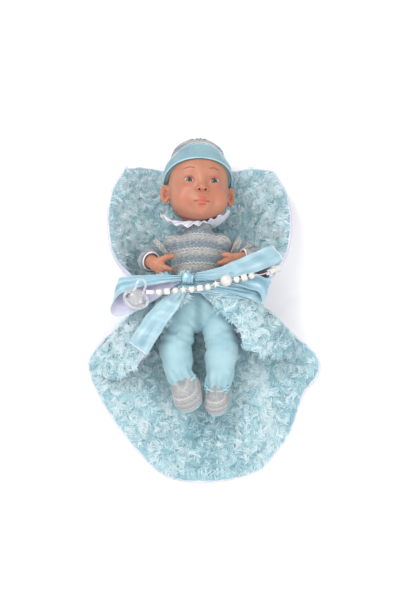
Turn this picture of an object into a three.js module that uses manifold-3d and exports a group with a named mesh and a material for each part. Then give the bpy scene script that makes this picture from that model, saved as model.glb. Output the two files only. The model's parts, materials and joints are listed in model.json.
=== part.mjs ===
// Interactive baby doll, lying on its back in a plush wrap that a satin ribbon ties shut.
// Millimetres. +Y points to the top of the head, +Z up out of the belly, +X to the doll's own left.
// The origin is under the middle of the whole object, on the surface that the wrap lies on.
// "left" and "right" in the names are the doll's own, so left is +X.

import * as THREE from "three";
import { mergeVertices } from "three/addons/utils/BufferGeometryUtils.js";
import Module from "manifold-3d";

const wasm = await Module();
wasm.setup();

// ---- driving dimensions -------------------------------------------------------------------

const GAP = 0.35; // clearance that touching pieces keep
const BODY_X = -10; // the doll lies a little to its right in the wrap
const TORSO = { centre: [BODY_X, 62, 48], radii: [36, 50, 30], wall: 2.5 };
const SWEATER = { centre: [BODY_X, 60, 48], radii: [40.8, 57, 36], wall: 2.6, hem_y: 22 };
const HEAD = { centre: [BODY_X, 177, 66], radii: [47, 60, 52], wall: 4.5, yaw: 7.5 };
const EYE = { radius: 9, x: 18.8, y: -2, z: 39.8 };
const NECK = { z: 62, radius: 18, top: 116.6, bore: 11 };
const HAT = { wall: 4.2, ease: 0.7, peak_y: 256, temple_y: 13, tilt: 21.5 };
const SHOULDER = { y: 92, z: 52, from_axis: 41.5, plug: 5, puck: 19 };
const ARM = { radii: [11, 11, 10.5, 9, 7.5, 7], sleeve: [17, 16, 15.5, 14.5, 14] };
const HIP = { y: -6, z: 46, plug: 6, disc: 16, pelvis: 7 };
const LEG = { radii: [17, 16, 14.5, 12, 10], pants: [24.5, 24, 23.5, 19, 15.5] };
const BLANKET = { thick: 8, half_length: 256, half_width: 175 };
const BAND = { x: -5, y: 16, width: 34, half_width: 86, base: 0.6, top: 98.5, thick: 1 };
const BEAD = 9.6;
const LARGE_BEAD = 16.8;
const CORD = 1.6;
const BUTTON = { y: 56, radius: 11, travel: 2.5 };
const MODULE = { size: [34, 32, 16], y: 62, back: 22, wall: 1.6 };

// ---- materials ----------------------------------------------------------------------------

const finish = (color, roughness, metalness = 0) =>
  new THREE.MeshStandardMaterial({ color, roughness, metalness });

const MATERIAL = {
  skin: finish(0xe0a184, 0.55),
  vinyl: finish(0xdcae94, 0.6),
  eye: finish(0x6f8ba3, 0.1),
  knit: finish(0xa9b4c4, 0.95),
  jersey: finish(0xa3d3df, 0.9),
  plush: finish(0xa8d6da, 1),
  satin: finish(0x9fd0e4, 0.3),
  organza: finish(0xd6d8ea, 0.6),
  clear: finish(0xd8dcde, 0.15),
  bead: finish(0xf4f1ea, 0.35),
  cord: finish(0xe2c4c4, 0.8),
  white: finish(0xefefef, 0.4),
  black: finish(0x2a2a2c, 0.5),
  green: finish(0x2d6b45, 0.5),
  steel: finish(0xb9bcc0, 0.35, 1),
};

// ---- solids: making, cutting and joining -----------------------------------------------------

const V = (x, y, z) => new THREE.Vector3(x, y, z);
const smoothLine = (points) => new THREE.CatmullRomCurve3(points, false, "centripetal");

function solid(geometry) {
  const plain = geometry.clone();
  for (const name of Object.keys(plain.attributes)) {
    if (name !== "position") plain.deleteAttribute(name);
  }
  const merged = mergeVertices(plain, 1e-4);
  const made = new wasm.Manifold(
    new wasm.Mesh({
      numProp: 3,
      vertProperties: new Float32Array(merged.attributes.position.array),
      triVerts: new Uint32Array(merged.index.array),
    }),
  );
  return made;
}

// The largest body of a cut, without the slivers that a cut can leave.
function largest(cut) {
  const bodies = cut.decompose();
  bodies.sort((a, b) => b.volume() - a.volume());
  return bodies[0];
}

function geometryOf(made) {
  const mesh = made.getMesh();
  const geometry = new THREE.BufferGeometry();
  geometry.setAttribute("position", new THREE.BufferAttribute(new Float32Array(mesh.vertProperties), 3));
  geometry.setIndex(new THREE.BufferAttribute(new Uint32Array(mesh.triVerts), 1));
  return geometry;
}

const join = (...solids) => solids.reduce((whole, next) => whole.add(next));
const cut = (whole, ...tools) => tools.reduce((left, tool) => left.subtract(tool), whole);

function indexed(points, triangles) {
  const geometry = new THREE.BufferGeometry();
  const flat = points.flatMap((p) => [p.x, p.y, p.z]);
  geometry.setAttribute("position", new THREE.Float32BufferAttribute(flat, 3));
  geometry.setIndex(triangles);
  return geometry;
}

function ellipsoid(centre, radii, wide = 18, high = 10) {
  const geometry = new THREE.SphereGeometry(1, wide, high);
  geometry.scale(...radii);
  geometry.translate(...centre);
  return solid(geometry);
}

const grown = (shape, by, wide = 18, high = 10) =>
  ellipsoid(
    shape.centre,
    shape.radii.map((r) => r + by),
    wide,
    high,
  );

function block(low, high) {
  const geometry = new THREE.BoxGeometry(high[0] - low[0], high[1] - low[1], high[2] - low[2]);
  geometry.translate((low[0] + high[0]) / 2, (low[1] + high[1]) / 2, (low[2] + high[2]) / 2);
  return solid(geometry);
}

// A round bar between two points.
function bar(from, to, radius, sides = 14) {
  const way = new THREE.Vector3().subVectors(to, from);
  const geometry = new THREE.CylinderGeometry(radius, radius, way.length(), sides);
  geometry.applyQuaternion(new THREE.Quaternion().setFromUnitVectors(V(0, 1, 0), way.clone().normalize()));
  geometry.translate(...new THREE.Vector3().addVectors(from, to).multiplyScalar(0.5).toArray());
  return solid(geometry);
}

// A round limb along a smooth line through the points, with a radius at each and round ends.
function limb(points, radii, sides = 10, steps = 6, grow = 0) {
  const line = smoothLine(points);
  const radiusAt = (t) => {
    const at = t * (radii.length - 1);
    const low = Math.min(Math.floor(at), radii.length - 2);
    return THREE.MathUtils.lerp(radii[low], radii[low + 1], at - low) + grow;
  };
  const frames = line.computeFrenetFrames(steps, false);
  const rings = [];
  const dome = [0.98, 0.8, 0.45];
  const ring = (centre, radius, i) => {
    const around = [];
    for (let k = 0; k < sides; k++) {
      const a = (2 * Math.PI * k) / sides;
      around.push(
        centre
          .clone()
          .addScaledVector(frames.normals[i], radius * Math.cos(a))
          .addScaledVector(frames.binormals[i], radius * Math.sin(a)),
      );
    }
    return around;
  };
  for (const up of dome) {
    const r = radiusAt(0);
    const centre = line.getPoint(0).addScaledVector(frames.tangents[0], -r * up);
    rings.push(ring(centre, r * Math.sqrt(1 - up * up), 0));
  }
  for (let i = 0; i <= steps; i++) rings.push(ring(line.getPoint(i / steps), radiusAt(i / steps), i));
  for (const up of [...dome].reverse()) {
    const r = radiusAt(1);
    const centre = line.getPoint(1).addScaledVector(frames.tangents[steps], r * up);
    rings.push(ring(centre, r * Math.sqrt(1 - up * up), steps));
  }
  return solid(skin(rings));
}

// The closed surface over a row of rings that have the same number of points.
function skin(rings) {
  const sides = rings[0].length;
  const points = rings.flat();
  const triangles = [];
  for (let i = 0; i + 1 < rings.length; i++) {
    for (let k = 0; k < sides; k++) {
      const a = i * sides + k;
      const b = i * sides + ((k + 1) % sides);
      triangles.push(a, b, b + sides, a, b + sides, a + sides);
    }
  }
  for (const end of [0, rings.length - 1]) {
    const middle = rings[end].reduce((sum, p) => sum.add(p), V(0, 0, 0)).divideScalar(sides);
    const hub = points.push(middle) - 1;
    for (let k = 0; k < sides; k++) {
      const a = end * sides + k;
      const b = end * sides + ((k + 1) % sides);
      if (end === 0) triangles.push(hub, b, a);
      else triangles.push(hub, a, b);
    }
  }
  return outward(indexed(points, triangles));
}

// Turns a closed surface's faces outward if it was built inside out.
function outward(geometry) {
  const at = geometry.attributes.position;
  const index = geometry.index.array;
  const corner = (i) => new THREE.Vector3().fromBufferAttribute(at, i);
  let volume = 0;
  for (let i = 0; i < index.length; i += 3) {
    volume += corner(index[i]).dot(corner(index[i + 1]).cross(corner(index[i + 2])));
  }
  if (volume > 0) return geometry;
  const flipped = [];
  for (let i = 0; i < index.length; i += 3) flipped.push(index[i], index[i + 2], index[i + 1]);
  geometry.setIndex(flipped);
  return geometry;
}

// A smooth grid of points through a net of rows.
function refine(net, acrossSteps, alongSteps) {
  const across = net.map((row) => {
    const line = smoothLine(row.map((p) => V(...p)));
    const many = (row.length - 1) * acrossSteps;
    return Array.from({ length: many + 1 }, (_, k) => line.getPoint(k / many));
  });
  const columns = across[0].map((_, k) => {
    const line = smoothLine(across.map((row) => row[k]));
    const many = (net.length - 1) * alongSteps;
    return Array.from({ length: many + 1 }, (_, i) => line.getPoint(i / many));
  });
  return columns[0].map((_, i) => columns.map((column) => column[i]));
}

// A closed sheet of even thickness over a net of rows, resting flat where it meets z = 0.
function sheet(net, thick, acrossSteps = 2, alongSteps = 2) {
  const grid = refine(net, acrossSteps, alongSteps);
  const rows = grid.length;
  const width = grid[0].length;
  const upSide = net[0][0][0] < net[0][net[0].length - 1][0] ? 1 : -1;
  const normal = (i, k) => {
    const down = grid[Math.min(i + 1, rows - 1)][k].clone().sub(grid[Math.max(i - 1, 0)][k]);
    const side = grid[i][Math.min(k + 1, width - 1)].clone().sub(grid[i][Math.max(k - 1, 0)]);
    return down.cross(side).normalize().multiplyScalar(upSide);
  };
  const points = [];
  for (const face of [0.5, -0.5]) {
    for (let i = 0; i < rows; i++) {
      for (let k = 0; k < width; k++) {
        const p = grid[i][k].clone().addScaledVector(normal(i, k), thick * face);
        p.z = Math.max(p.z, face > 0 ? thick : 0);
        p.x = THREE.MathUtils.clamp(p.x, -BLANKET.half_width, BLANKET.half_width);
        p.y = Math.max(p.y, -BLANKET.half_length);
        points.push(p);
      }
    }
  }
  const under = rows * width;
  const triangles = [];
  const quad = (a, b, c, d) => triangles.push(a, b, c, a, c, d);
  for (let i = 0; i + 1 < rows; i++) {
    for (let k = 0; k + 1 < width; k++) {
      const a = i * width + k;
      quad(a, a + 1, a + width + 1, a + width);
      quad(under + a, under + a + width, under + a + width + 1, under + a + 1);
    }
  }
  const rim = [];
  for (let k = 0; k < width; k++) rim.push(k);
  for (let i = 1; i < rows; i++) rim.push(i * width + width - 1);
  for (let k = width - 2; k >= 0; k--) rim.push((rows - 1) * width + k);
  for (let i = rows - 2; i > 0; i--) rim.push(i * width);
  for (let k = 0; k < rim.length; k++) {
    const a = rim[k];
    const b = rim[(k + 1) % rim.length];
    quad(a, under + a, under + b, b);
  }
  return solid(outward(indexed(points, triangles)));
}

// A ring whose section is given at each angle as a list of points, joined round the ring.
function ringOf(section, steps) {
  const loops = Array.from({ length: steps }, (_, k) => section((2 * Math.PI * k) / steps));
  const many = loops[0].length;
  const triangles = [];
  for (let k = 0; k < steps; k++) {
    for (let j = 0; j < many; j++) {
      const a = k * many + j;
      const b = k * many + ((j + 1) % many);
      const c = ((k + 1) % steps) * many + ((j + 1) % many);
      const d = ((k + 1) % steps) * many + j;
      triangles.push(a, b, c, a, c, d);
    }
  }
  return solid(outward(indexed(loops.flat(), triangles)));
}

const turnedX = (from, to, radius, y, z, sides = 16) => bar(V(from, y, z), V(to, y, z), radius, sides);
const turnedY = (from, to, radius, sides = 16) =>
  bar(V(BODY_X, from, NECK.z), V(BODY_X, to, NECK.z), radius, sides);

const doll = new THREE.Group();

function piece(name, made, material) {
  const mesh = new THREE.Mesh(made.isBufferGeometry ? made : geometryOf(made), MATERIAL[material]);
  mesh.name = name;
  doll.add(mesh);
}

// ---- torso: hollow vinyl shell with its neck socket and pelvis ----------------------------------

const pelvisLow = BODY_X - HIP.pelvis;
const pelvisHigh = BODY_X + HIP.pelvis;
const sides = [
  { name: "right", way: -1 },
  { name: "left", way: 1 },
];

const neckSocket = turnedY(92, NECK.top, NECK.radius);
const pelvis = join(
  turnedX(pelvisLow, pelvisHigh, HIP.disc, HIP.y, HIP.z),
  block([pelvisLow, HIP.y, HIP.z - 13], [pelvisHigh, 22, HIP.z + 13]),
);

const moduleLow = [BODY_X - MODULE.size[0] / 2, MODULE.y - MODULE.size[1] / 2, MODULE.back];
const moduleHigh = moduleLow.map((low, axis) => low + MODULE.size[axis]);

function torsoShell() {
  const outside = join(grown(TORSO, 0), neckSocket, pelvis);
  return largest(
    cut(
      outside,
      grown(TORSO, -TORSO.wall, 12, 8),
      turnedY(84, 98.5, 8),
      turnedY(98, 102.4, 13.6),
      turnedY(102, NECK.top + 2, NECK.bore),
      turnedX(BODY_X - 60, BODY_X + 60, SHOULDER.plug + GAP, SHOULDER.y, SHOULDER.z),
      turnedX(pelvisLow - 5, pelvisHigh + 5, HIP.plug + GAP, HIP.y, HIP.z),
      block([moduleLow[0] - GAP, moduleLow[1] - GAP, 0], [moduleHigh[0] + GAP, moduleHigh[1] + GAP, 38]),
      bar(V(BODY_X, BUTTON.y, 60), V(BODY_X, BUTTON.y, 90), BUTTON.radius + GAP), // the button's hole
    ),
  );
}
piece("torso_shell", torsoShell(), "vinyl");

// ---- sound module in the back ------------------------------------------------------------------

const [mx, my, mz] = moduleLow;
const [Mx, My, Mz] = moduleHigh;
const floorZ = mz + 6.2; // wall between the battery bay and the electronics
const cellX = [BODY_X - 9, BODY_X + 4];
const cellY = MODULE.y + 6.5;
const switchY = MODULE.y - 10.5;
const screwAt = V(BODY_X + 12.8, MODULE.y - 1.8, 0);

function moduleCase() {
  const w = MODULE.wall;
  return largest(
    cut(
      block(moduleLow, moduleHigh),
      block([mx + w, my + w, floorZ + w], [Mx - w, My - w, Mz + 1]),
      block([mx + w, MODULE.y - 4.5, mz - 1], [Mx - w, My - w, mz + 1.6]),
      ...cellX.map((x) => bar(V(x, cellY, mz + 1), V(x, cellY, floorZ), 6.2)),
      block([BODY_X - 8, switchY - 2.6, mz - 1], [BODY_X + 8, switchY + 2.6, floorZ + 3]),
      bar(V(screwAt.x, screwAt.y, mz), V(screwAt.x, screwAt.y, floorZ - 0.6), 1.3, 12),
    ),
  );
}
piece("module_case", moduleCase(), "white");

cellX.forEach((x, i) => {
  const cell = bar(V(x, cellY, mz + 2.3), V(x, cellY, floorZ - 0.3), 5.8);
  piece(`battery_cell_${i + 1}`, cell, "steel");
});

function batteryDoor() {
  const w = MODULE.wall + GAP;
  return cut(
    block([mx + w, MODULE.y - 4.5 + GAP, mz], [Mx - w, My - w, mz + 1.3]),
    bar(V(screwAt.x, screwAt.y, mz - 1), V(screwAt.x, screwAt.y, mz + 3), 1.5, 12),
  );
}
piece("battery_door", batteryDoor(), "white");

function doorScrew() {
  const shank = bar(V(screwAt.x, screwAt.y, mz - 0.6), V(screwAt.x, screwAt.y, floorZ - 1.2), 1, 12);
  const head = bar(V(screwAt.x, screwAt.y, mz - 1.6), V(screwAt.x, screwAt.y, mz - 0.35), 2.4, 16);
  const slot = block([screwAt.x - 2, screwAt.y - 0.3, mz - 2], [screwAt.x + 2, screwAt.y + 0.3, mz - 1.1]);
  return cut(join(shank, head), slot);
}
piece("battery_door_screw", doorScrew(), "steel");

const switchBar = join(
  block([BODY_X - 5.6, switchY - 2.1, mz + 0.8], [BODY_X + 1.6, switchY + 2.1, mz + 3]),
  block([BODY_X - 4, switchY - 1.4, mz - 1.2], [BODY_X, switchY + 1.4, mz + 1]),
);
piece("power_switch", switchBar, "black");

const boardZ = floorZ + MODULE.wall + 0.4;
piece("circuit_board", block([mx + 2.2, my + 2.2, boardZ], [Mx - 2.2, My - 2.2, boardZ + 1.4]), "green");

function speaker() {
  const profile = [
    [0, 0],
    [6, 0],
    [6, 2.2],
    [14, 4.6],
    [14, 6],
    [11.5, 6],
    [5, 3.6],
    [0, 4.4],
  ];
  const geometry = new THREE.LatheGeometry(profile.map(([r, h]) => new THREE.Vector2(r, h)), 24);
  geometry.rotateX(Math.PI / 2);
  geometry.translate(BODY_X, MODULE.y, boardZ + 1.4 + GAP);
  return solid(outward(mergeVertices(stripped(geometry), 1e-4)));
}

function stripped(geometry) {
  geometry.deleteAttribute("normal");
  geometry.deleteAttribute("uv");
  return geometry;
}
piece("speaker", speaker(), "black");

// ---- belly button: a sprung cap in a cup under the sweater --------------------------------------

const buttonTop = TORSO.centre[2] + TORSO.radii[2] + 0.8;
const cupBase = buttonTop - 16;

// An upright round bar on the button's axis.
const upright = (low, high, radius) => bar(V(BODY_X, BUTTON.y, low), V(BODY_X, BUTTON.y, high), radius);

function buttonCap() {
  const cap = upright(buttonTop - 5, buttonTop, BUTTON.radius - 1.2);
  const skirt = upright(buttonTop - 6.4, buttonTop - 3.8, BUTTON.radius - 0.5);
  return cut(join(cap, skirt), upright(buttonTop - 8, buttonTop - 2, 7));
}
piece("belly_button", buttonCap(), "white");

function buttonCup() {
  return cut(
    upright(cupBase, buttonTop - 3.6, BUTTON.radius + 1.8),
    upright(cupBase + 1.6, buttonTop, BUTTON.radius - 0.1),
  );
}
const shellAtButton = cut(torsoShellTool(), upright(60, 90, BUTTON.radius));
piece("button_cup", largest(cut(buttonCup(), shellAtButton)), "white");

// The part of the torso's wall that the cup meets, grown by the gap.
function torsoShellTool() {
  return cut(grown(TORSO, 30, 8, 6), grown(TORSO, -TORSO.wall - GAP - 0.6, 12, 8));
}

function coil(radius, wire, low, high, turns) {
  const points = [];
  const many = turns * 8;
  for (let i = 0; i <= many; i++) {
    const a = (2 * Math.PI * turns * i) / many;
    const z = THREE.MathUtils.lerp(low + wire, high - wire, i / many);
    points.push(V(BODY_X + radius * Math.cos(a), BUTTON.y + radius * Math.sin(a), z));
  }
  const section = new THREE.Shape();
  section.absarc(0, 0, wire, 0, 2 * Math.PI);
  const geometry = new THREE.ExtrudeGeometry(section, {
    steps: many,
    curveSegments: 3,
    extrudePath: new THREE.CatmullRomCurve3(points),
  });
  return solid(outward(mergeVertices(stripped(geometry), 1e-4)));
}
piece("button_spring", coil(5, 0.5, cupBase + 1.6 + GAP, buttonTop - 2 - GAP, 3), "steel");

// ---- head, eyes, neck plug and hat ---------------------------------------------------------------

const headTurn = new THREE.Matrix4()
  .makeTranslation(...HEAD.centre)
  .multiply(new THREE.Matrix4().makeRotationY(THREE.MathUtils.degToRad(HEAD.yaw)));

// A solid given in the head's own frame, where +Z is the way the face looks.
const onHead = (made) => made.transform([...headTurn.elements]);
const headAtRest = { centre: [0, 0, 0], radii: HEAD.radii };
const headForm = (by, wide = 18, high = 10) => grown(headAtRest, by, wide, high);

function ears(by) {
  return [-1, 1].map((way) => {
    const ear = new THREE.SphereGeometry(1, 8, 5);
    ear.scale(4.6 + by, 14 + by, 7 + by);
    ear.rotateY(way * 0.5);
    ear.translate(way * 49, -8, 1);
    return solid(ear);
  });
}

function headShell() {
  const cheeks = [-1, 1].map((way) => ellipsoid([way * 22, -26, 24], [20, 20, 20], 10, 6));
  const face = [
    ...cheeks,
    ellipsoid([0, -41, 30], [14, 12, 14], 8, 5),
    ellipsoid([0, -15, 49.5], [7, 6, 7], 6, 4),
    ellipsoid([0, -31, 44], [10, 7, 6], 6, 4),
  ];
  const socketRadii = Array(3).fill(EYE.radius + 2 * GAP);
  const sockets = [-1, 1].map((way) => ellipsoid([way * EYE.x, EYE.y, EYE.z], socketRadii, 10, 6));
  const outside = join(headForm(0), ...face, ...ears(0));
  const whole = onHead(cut(outside, headForm(-HEAD.wall, 12, 8), ...sockets));
  return largest(cut(whole, turnedY(110, 135, NECK.bore)));
}
piece("head_shell", headShell(), "skin");

for (const side of sides) {
  const eye = ellipsoid([side.way * EYE.x, EYE.y, EYE.z], Array(3).fill(EYE.radius), 12, 6);
  piece(`eye_${side.name}`, onHead(eye), "eye");
}

function neckPlug() {
  const profile = [
    [0, 98.6],
    [13, 98.6],
    [13, 101.8],
    [NECK.bore - GAP, 101.8],
    [NECK.bore - GAP, 127.6],
    [13.5, 127.6],
    [13.5, 130.6],
    [0, 130.6],
  ];
  const geometry = new THREE.LatheGeometry(profile.map(([r, h]) => new THREE.Vector2(r, h)), 24);
  geometry.translate(BODY_X, 0, NECK.z);
  return solid(outward(mergeVertices(stripped(geometry), 1e-4)));
}
piece("neck_plug", neckPlug(), "vinyl");

// The hat's edge lies in a plane that is high on the forehead and low at the nape.
function hat() {
  const peak = ellipsoid([1, 57, -2], [17, HAT.peak_y - HEAD.centre[1] - 57, 17], 12, 6);
  const keep = new THREE.BoxGeometry(200, 200, 200);
  keep.translate(0, 100, 0);
  keep.rotateX(-THREE.MathUtils.degToRad(HAT.tilt));
  keep.translate(0, HAT.temple_y, 0);
  const outside = join(headForm(HAT.wall + HAT.ease), peak).intersect(solid(keep));
  return largest(onHead(cut(outside, headForm(HAT.ease), ...ears(0.5))));
}
piece("hat", hat(), "knit");

// ---- arms: vinyl arm with its hand, turned on a plug, in a knitted sleeve ------------------------

const ARM_LINE = {
  right: [V(-62, 92, 52), V(-72, 84, 50), V(-82, 71, 50), V(-85, 64, 62), V(-81, 61, 75), V(-76, 57, 81)],
  left: [V(42, 92, 52), V(57, 85, 48), V(72, 75, 53), V(73, 67, 66), V(62, 64, 78), V(48, 62, 83)],
};
const HAND = {
  right: {
    palm: [-70, 52, 86],
    finger: [V(-62, 48, 88), V(-51, 44, 89)],
    thumb: [V(-63, 58, 89), V(-45, 65, 91)],
  },
  left: {
    palm: [38, 59, 86],
    finger: [V(33, 57, 87), V(24, 54, 88)],
    thumb: [V(37, 63, 90), V(29, 64, 92)],
  },
};

for (const side of sides) {
  const { name, way } = side;
  const plane = BODY_X + way * SHOULDER.from_axis;
  const line = ARM_LINE[name];
  const hand = HAND[name];
  const start = plane + way * (1 + GAP);
  const armWhole = (by) =>
    join(
      turnedX(start - way * by, plane + way * 16, 11 + by, SHOULDER.y, SHOULDER.z),
      limb(line, ARM.radii, 8, 7, by),
      ellipsoid(hand.palm, [10 + by, 8.5 + by, 6.5 + by], 10, 6),
    );
  const fingers = [limb(hand.finger, [3.2, 2.6], 6, 2), limb(hand.thumb, [2.8, 2.4], 6, 2)];
  const flangeAt = BODY_X + way * 15;
  const plug = [
    turnedX(flangeAt, plane + way * 3, SHOULDER.plug, SHOULDER.y, SHOULDER.z, 16),
    turnedX(flangeAt - way * 1, flangeAt + way * 1.5, 7.5, SHOULDER.y, SHOULDER.z, 16),
  ];
  piece(`arm_${name}`, join(armWhole(0), ...fingers, ...plug), "skin");

  const sleeveLine = line.slice(0, 5);
  const outside = join(
    turnedX(plane + way * GAP, plane + way * 14, SHOULDER.puck, SHOULDER.y, SHOULDER.z),
    limb(sleeveLine, ARM.sleeve, 10, 6),
  );
  const cuffWay = line[4].clone().sub(line[3]).normalize();
  const cuff = line[4].clone().addScaledVector(cuffWay, 3);
  const beyond = bar(cuff, cuff.clone().addScaledVector(cuffWay, 40), 40, 20);
  const inboard = block(
    way < 0 ? [plane, -100, -10] : [-100, -100, -10],
    way < 0 ? [100, 150, 150] : [plane, 150, 150],
  );
  const stem = turnedX(plane - way * 5, plane + way * 5, SHOULDER.plug + 0.8, SHOULDER.y, SHOULDER.z);
  piece(`sleeve_${name}`, largest(cut(outside, armWhole(1.2), stem, beyond, inboard)), "knit");
}

// ---- sweater and collar ----------------------------------------------------------------------------

// The body of the sweater, with a yoke that reaches to each shoulder and is open at the armhole.
function sweater() {
  const reach = SHOULDER.from_axis - GAP;
  const yoke = (r) => turnedX(BODY_X - reach, BODY_X + reach, r, SHOULDER.y, SHOULDER.z);
  const past = (r) => turnedX(BODY_X - 60, BODY_X + 60, r, SHOULDER.y, SHOULDER.z);
  return largest(
    cut(
      join(grown(SWEATER, 0), yoke(SHOULDER.puck)),
      grown(SWEATER, -SWEATER.wall),
      past(SHOULDER.puck - SWEATER.wall),
      neckTool(GAP),
      block([-100, -80, -10], [100, SWEATER.hem_y, 120]),
    ),
  );
}

// The room that the neck socket takes, for the clothes round it.
function neckTool(by) {
  return turnedY(80, 140, NECK.radius + by);
}
piece("sweater_body", sweater(), "knit");

// The collar lies on the sweater's shoulders, from the neckline out.
function collar() {
  const made = ringOf((a) => {
    const at = (rx, rz, y, z) => V(BODY_X + rx * Math.cos(a), y, z + rz * Math.sin(a));
    const drop = 9 * Math.max(0, Math.sin(a));
    return [
      at(19, 19, 117, 62),
      at(30, 24, 116 - drop * 0.5, 58),
      at(42, 28, 118 - drop, 56),
      at(42, 28, 114.5 - drop, 56),
      at(30, 23.5, 112 - drop * 0.5, 57),
      at(19, 19, 112, 62),
    ];
  }, 28);
  const yoke = turnedX(BODY_X - 45, BODY_X + 45, SHOULDER.puck + GAP, SHOULDER.y, SHOULDER.z);
  return largest(cut(made, grown(SWEATER, GAP), yoke, neckTool(GAP)));
}
piece("collar_ruffle", collar(), "organza");

// ---- legs, pants and booties ---------------------------------------------------------------------

const LEG_LINE = {
  right: [V(-36, -6, 46), V(-40, -38, 50), V(-42, -70, 52), V(-37, -100, 48), V(-29, -118, 45)],
  left: [V(16, -6, 46), V(22, -38, 50), V(25, -70, 50), V(22, -104, 42), V(18, -124, 36)],
};
const FOOT = {
  right: { heel: V(-28, -124, 40), toe: V(-26, -141, 56), radii: [20, 18.5] },
  left: { heel: V(18, -130, 29), toe: V(17.5, -147, 44), radii: [18, 17.5] },
};
const legsApart = 34; // the legs keep off the pelvis within this reach of the hip axis

for (const side of sides) {
  const { name, way } = side;
  const line = LEG_LINE[name];
  const foot = FOOT[name];
  const face = BODY_X + way * (HIP.pelvis + GAP);
  const inner = way < 0 ? [face, 80] : [-80, face];
  const keepOff = turnedX(inner[0], inner[1], legsApart, HIP.y, HIP.z, 24);
  const boot = (by) => limb([foot.heel, foot.toe], foot.radii, 12, 3, by);
  const legWhole = (by) => limb(line, LEG.radii, 8, 5, by);

  const plug = (by) => turnedX(BODY_X + way * 0.4, face + way * 4, HIP.plug + by, HIP.y, HIP.z, 16);
  const leg = join(largest(cut(legWhole(0), keepOff, boot(GAP))), plug(0));
  piece(`leg_${name}`, leg, "skin");
  const fabric = limb(line, LEG.pants, 12, 6);
  piece(`pant_leg_${name}`, largest(cut(fabric, legWhole(0.8), keepOff, plug(0.8), boot(GAP))), "jersey");
  piece(`bootie_${name}`, boot(0), "knit");
}

function pantsSeat() {
  const swingRoom = 3.2; // the baggy legs swing inside this much room
  const outside = ellipsoid([BODY_X, 10, 47], [50, 42, 35], 20, 12);
  const hips = [
    turnedX(-100, pelvisLow - 0.1, LEG.pants[0] + swingRoom, HIP.y, HIP.z, 24),
    turnedX(pelvisHigh + 0.1, 100, LEG.pants[0] + swingRoom, HIP.y, HIP.z, 24),
  ];
  return largest(
    cut(
      outside,
      block([-100, SWEATER.hem_y - GAP, -10], [100, 100, 120]),
      block([-100, -100, -10], [100, HIP.y + 4, 120]),
      grown(TORSO, 0.6),
      block([pelvisLow - 0.6, -30, HIP.z - 17], [pelvisHigh + 0.6, 40, HIP.z + 17]),
      ...hips,
    ),
  );
}
piece("pants_seat", pantsSeat(), "jersey");

// ---- wrap: a plush sheet under the doll, and its two sides folded over the hips -------------------

const UNDER = [
  [
    [-120, 208, 50], [-98, 214, 32], [-72, 217, 15], [-42, 218, 7], [-10, 218, 4],
    [22, 218, 7], [52, 216, 15], [82, 212, 32], [104, 204, 50],
  ],
  [
    [-140, 172, 54], [-116, 175, 30], [-84, 176, 11], [-48, 176, 4], [-10, 176, 4],
    [28, 176, 4], [64, 176, 11], [98, 173, 30], [123, 168, 54],
  ],
  [
    [-146, 116, 56], [-122, 118, 29], [-92, 118, 8], [-50, 118, 4], [-10, 118, 4],
    [30, 118, 4], [72, 118, 8], [107, 116, 29], [131, 112, 56],
  ],
  [
    [-134, 71, 56], [-116, 74, 29], [-92, 77, 8], [-50, 77, 4], [-10, 77, 4],
    [30, 77, 4], [74, 77, 8], [101, 73, 29], [120, 71, 56],
  ],
  [
    [-108, 40, 58], [-102, 41, 32], [-84, 41, 9], [-45, 41, 5], [-8, 41, 5],
    [30, 41, 5], [70, 41, 9], [90, 41, 32], [98, 40, 58],
  ],
  [
    [-82, 16, 56], [-80, 16, 34], [-64, 16, 12], [-38, 16, 7.5], [-6, 16, 7.5],
    [26, 16, 7.5], [53, 16, 12], [69, 16, 34], [72, 16, 56],
  ],
  [
    [-98, -7, 48], [-94, -7, 28], [-76, -6, 9], [-44, -6, 5], [-8, -6, 5],
    [30, -6, 5], [64, -6, 9], [84, -7, 28], [90, -7, 48],
  ],
  [
    [-134, -34, 32], [-118, -34, 16], [-86, -36, 6], [-48, -36, 4], [-8, -36, 4],
    [34, -36, 4], [76, -36, 6], [108, -34, 16], [126, -34, 32],
  ],
  [
    [-173, -78, 9], [-142, -80, 12], [-100, -84, 12], [-52, -86, 5], [-6, -86, 4],
    [42, -86, 5], [94, -84, 12], [140, -82, 12], [173, -80, 9],
  ],
  [
    [-157, -128, 5], [-124, -132, 10], [-86, -136, 19], [-46, -138, 6], [-4, -138, 4],
    [40, -138, 6], [84, -136, 19], [118, -132, 10], [146, -128, 5],
  ],
  [
    [-120, -184, 4], [-98, -186, 9], [-70, -190, 17], [-40, -192, 8], [-4, -194, 4],
    [34, -192, 8], [70, -190, 17], [102, -186, 9], [126, -180, 4],
  ],
  [
    [-86, -224, 4], [-72, -226, 6], [-52, -230, 10], [-28, -233, 7], [-2, -235, 4],
    [28, -234, 7], [56, -230, 10], [82, -226, 6], [99, -220, 4],
  ],
  [
    [-66, -242, 4], [-54, -248, 4], [-40, -252, 4], [-22, -255, 4], [0, -256, 4],
    [26, -254, 4], [46, -250, 4], [68, -244, 4], [86, -236, 4],
  ],
];

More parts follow.
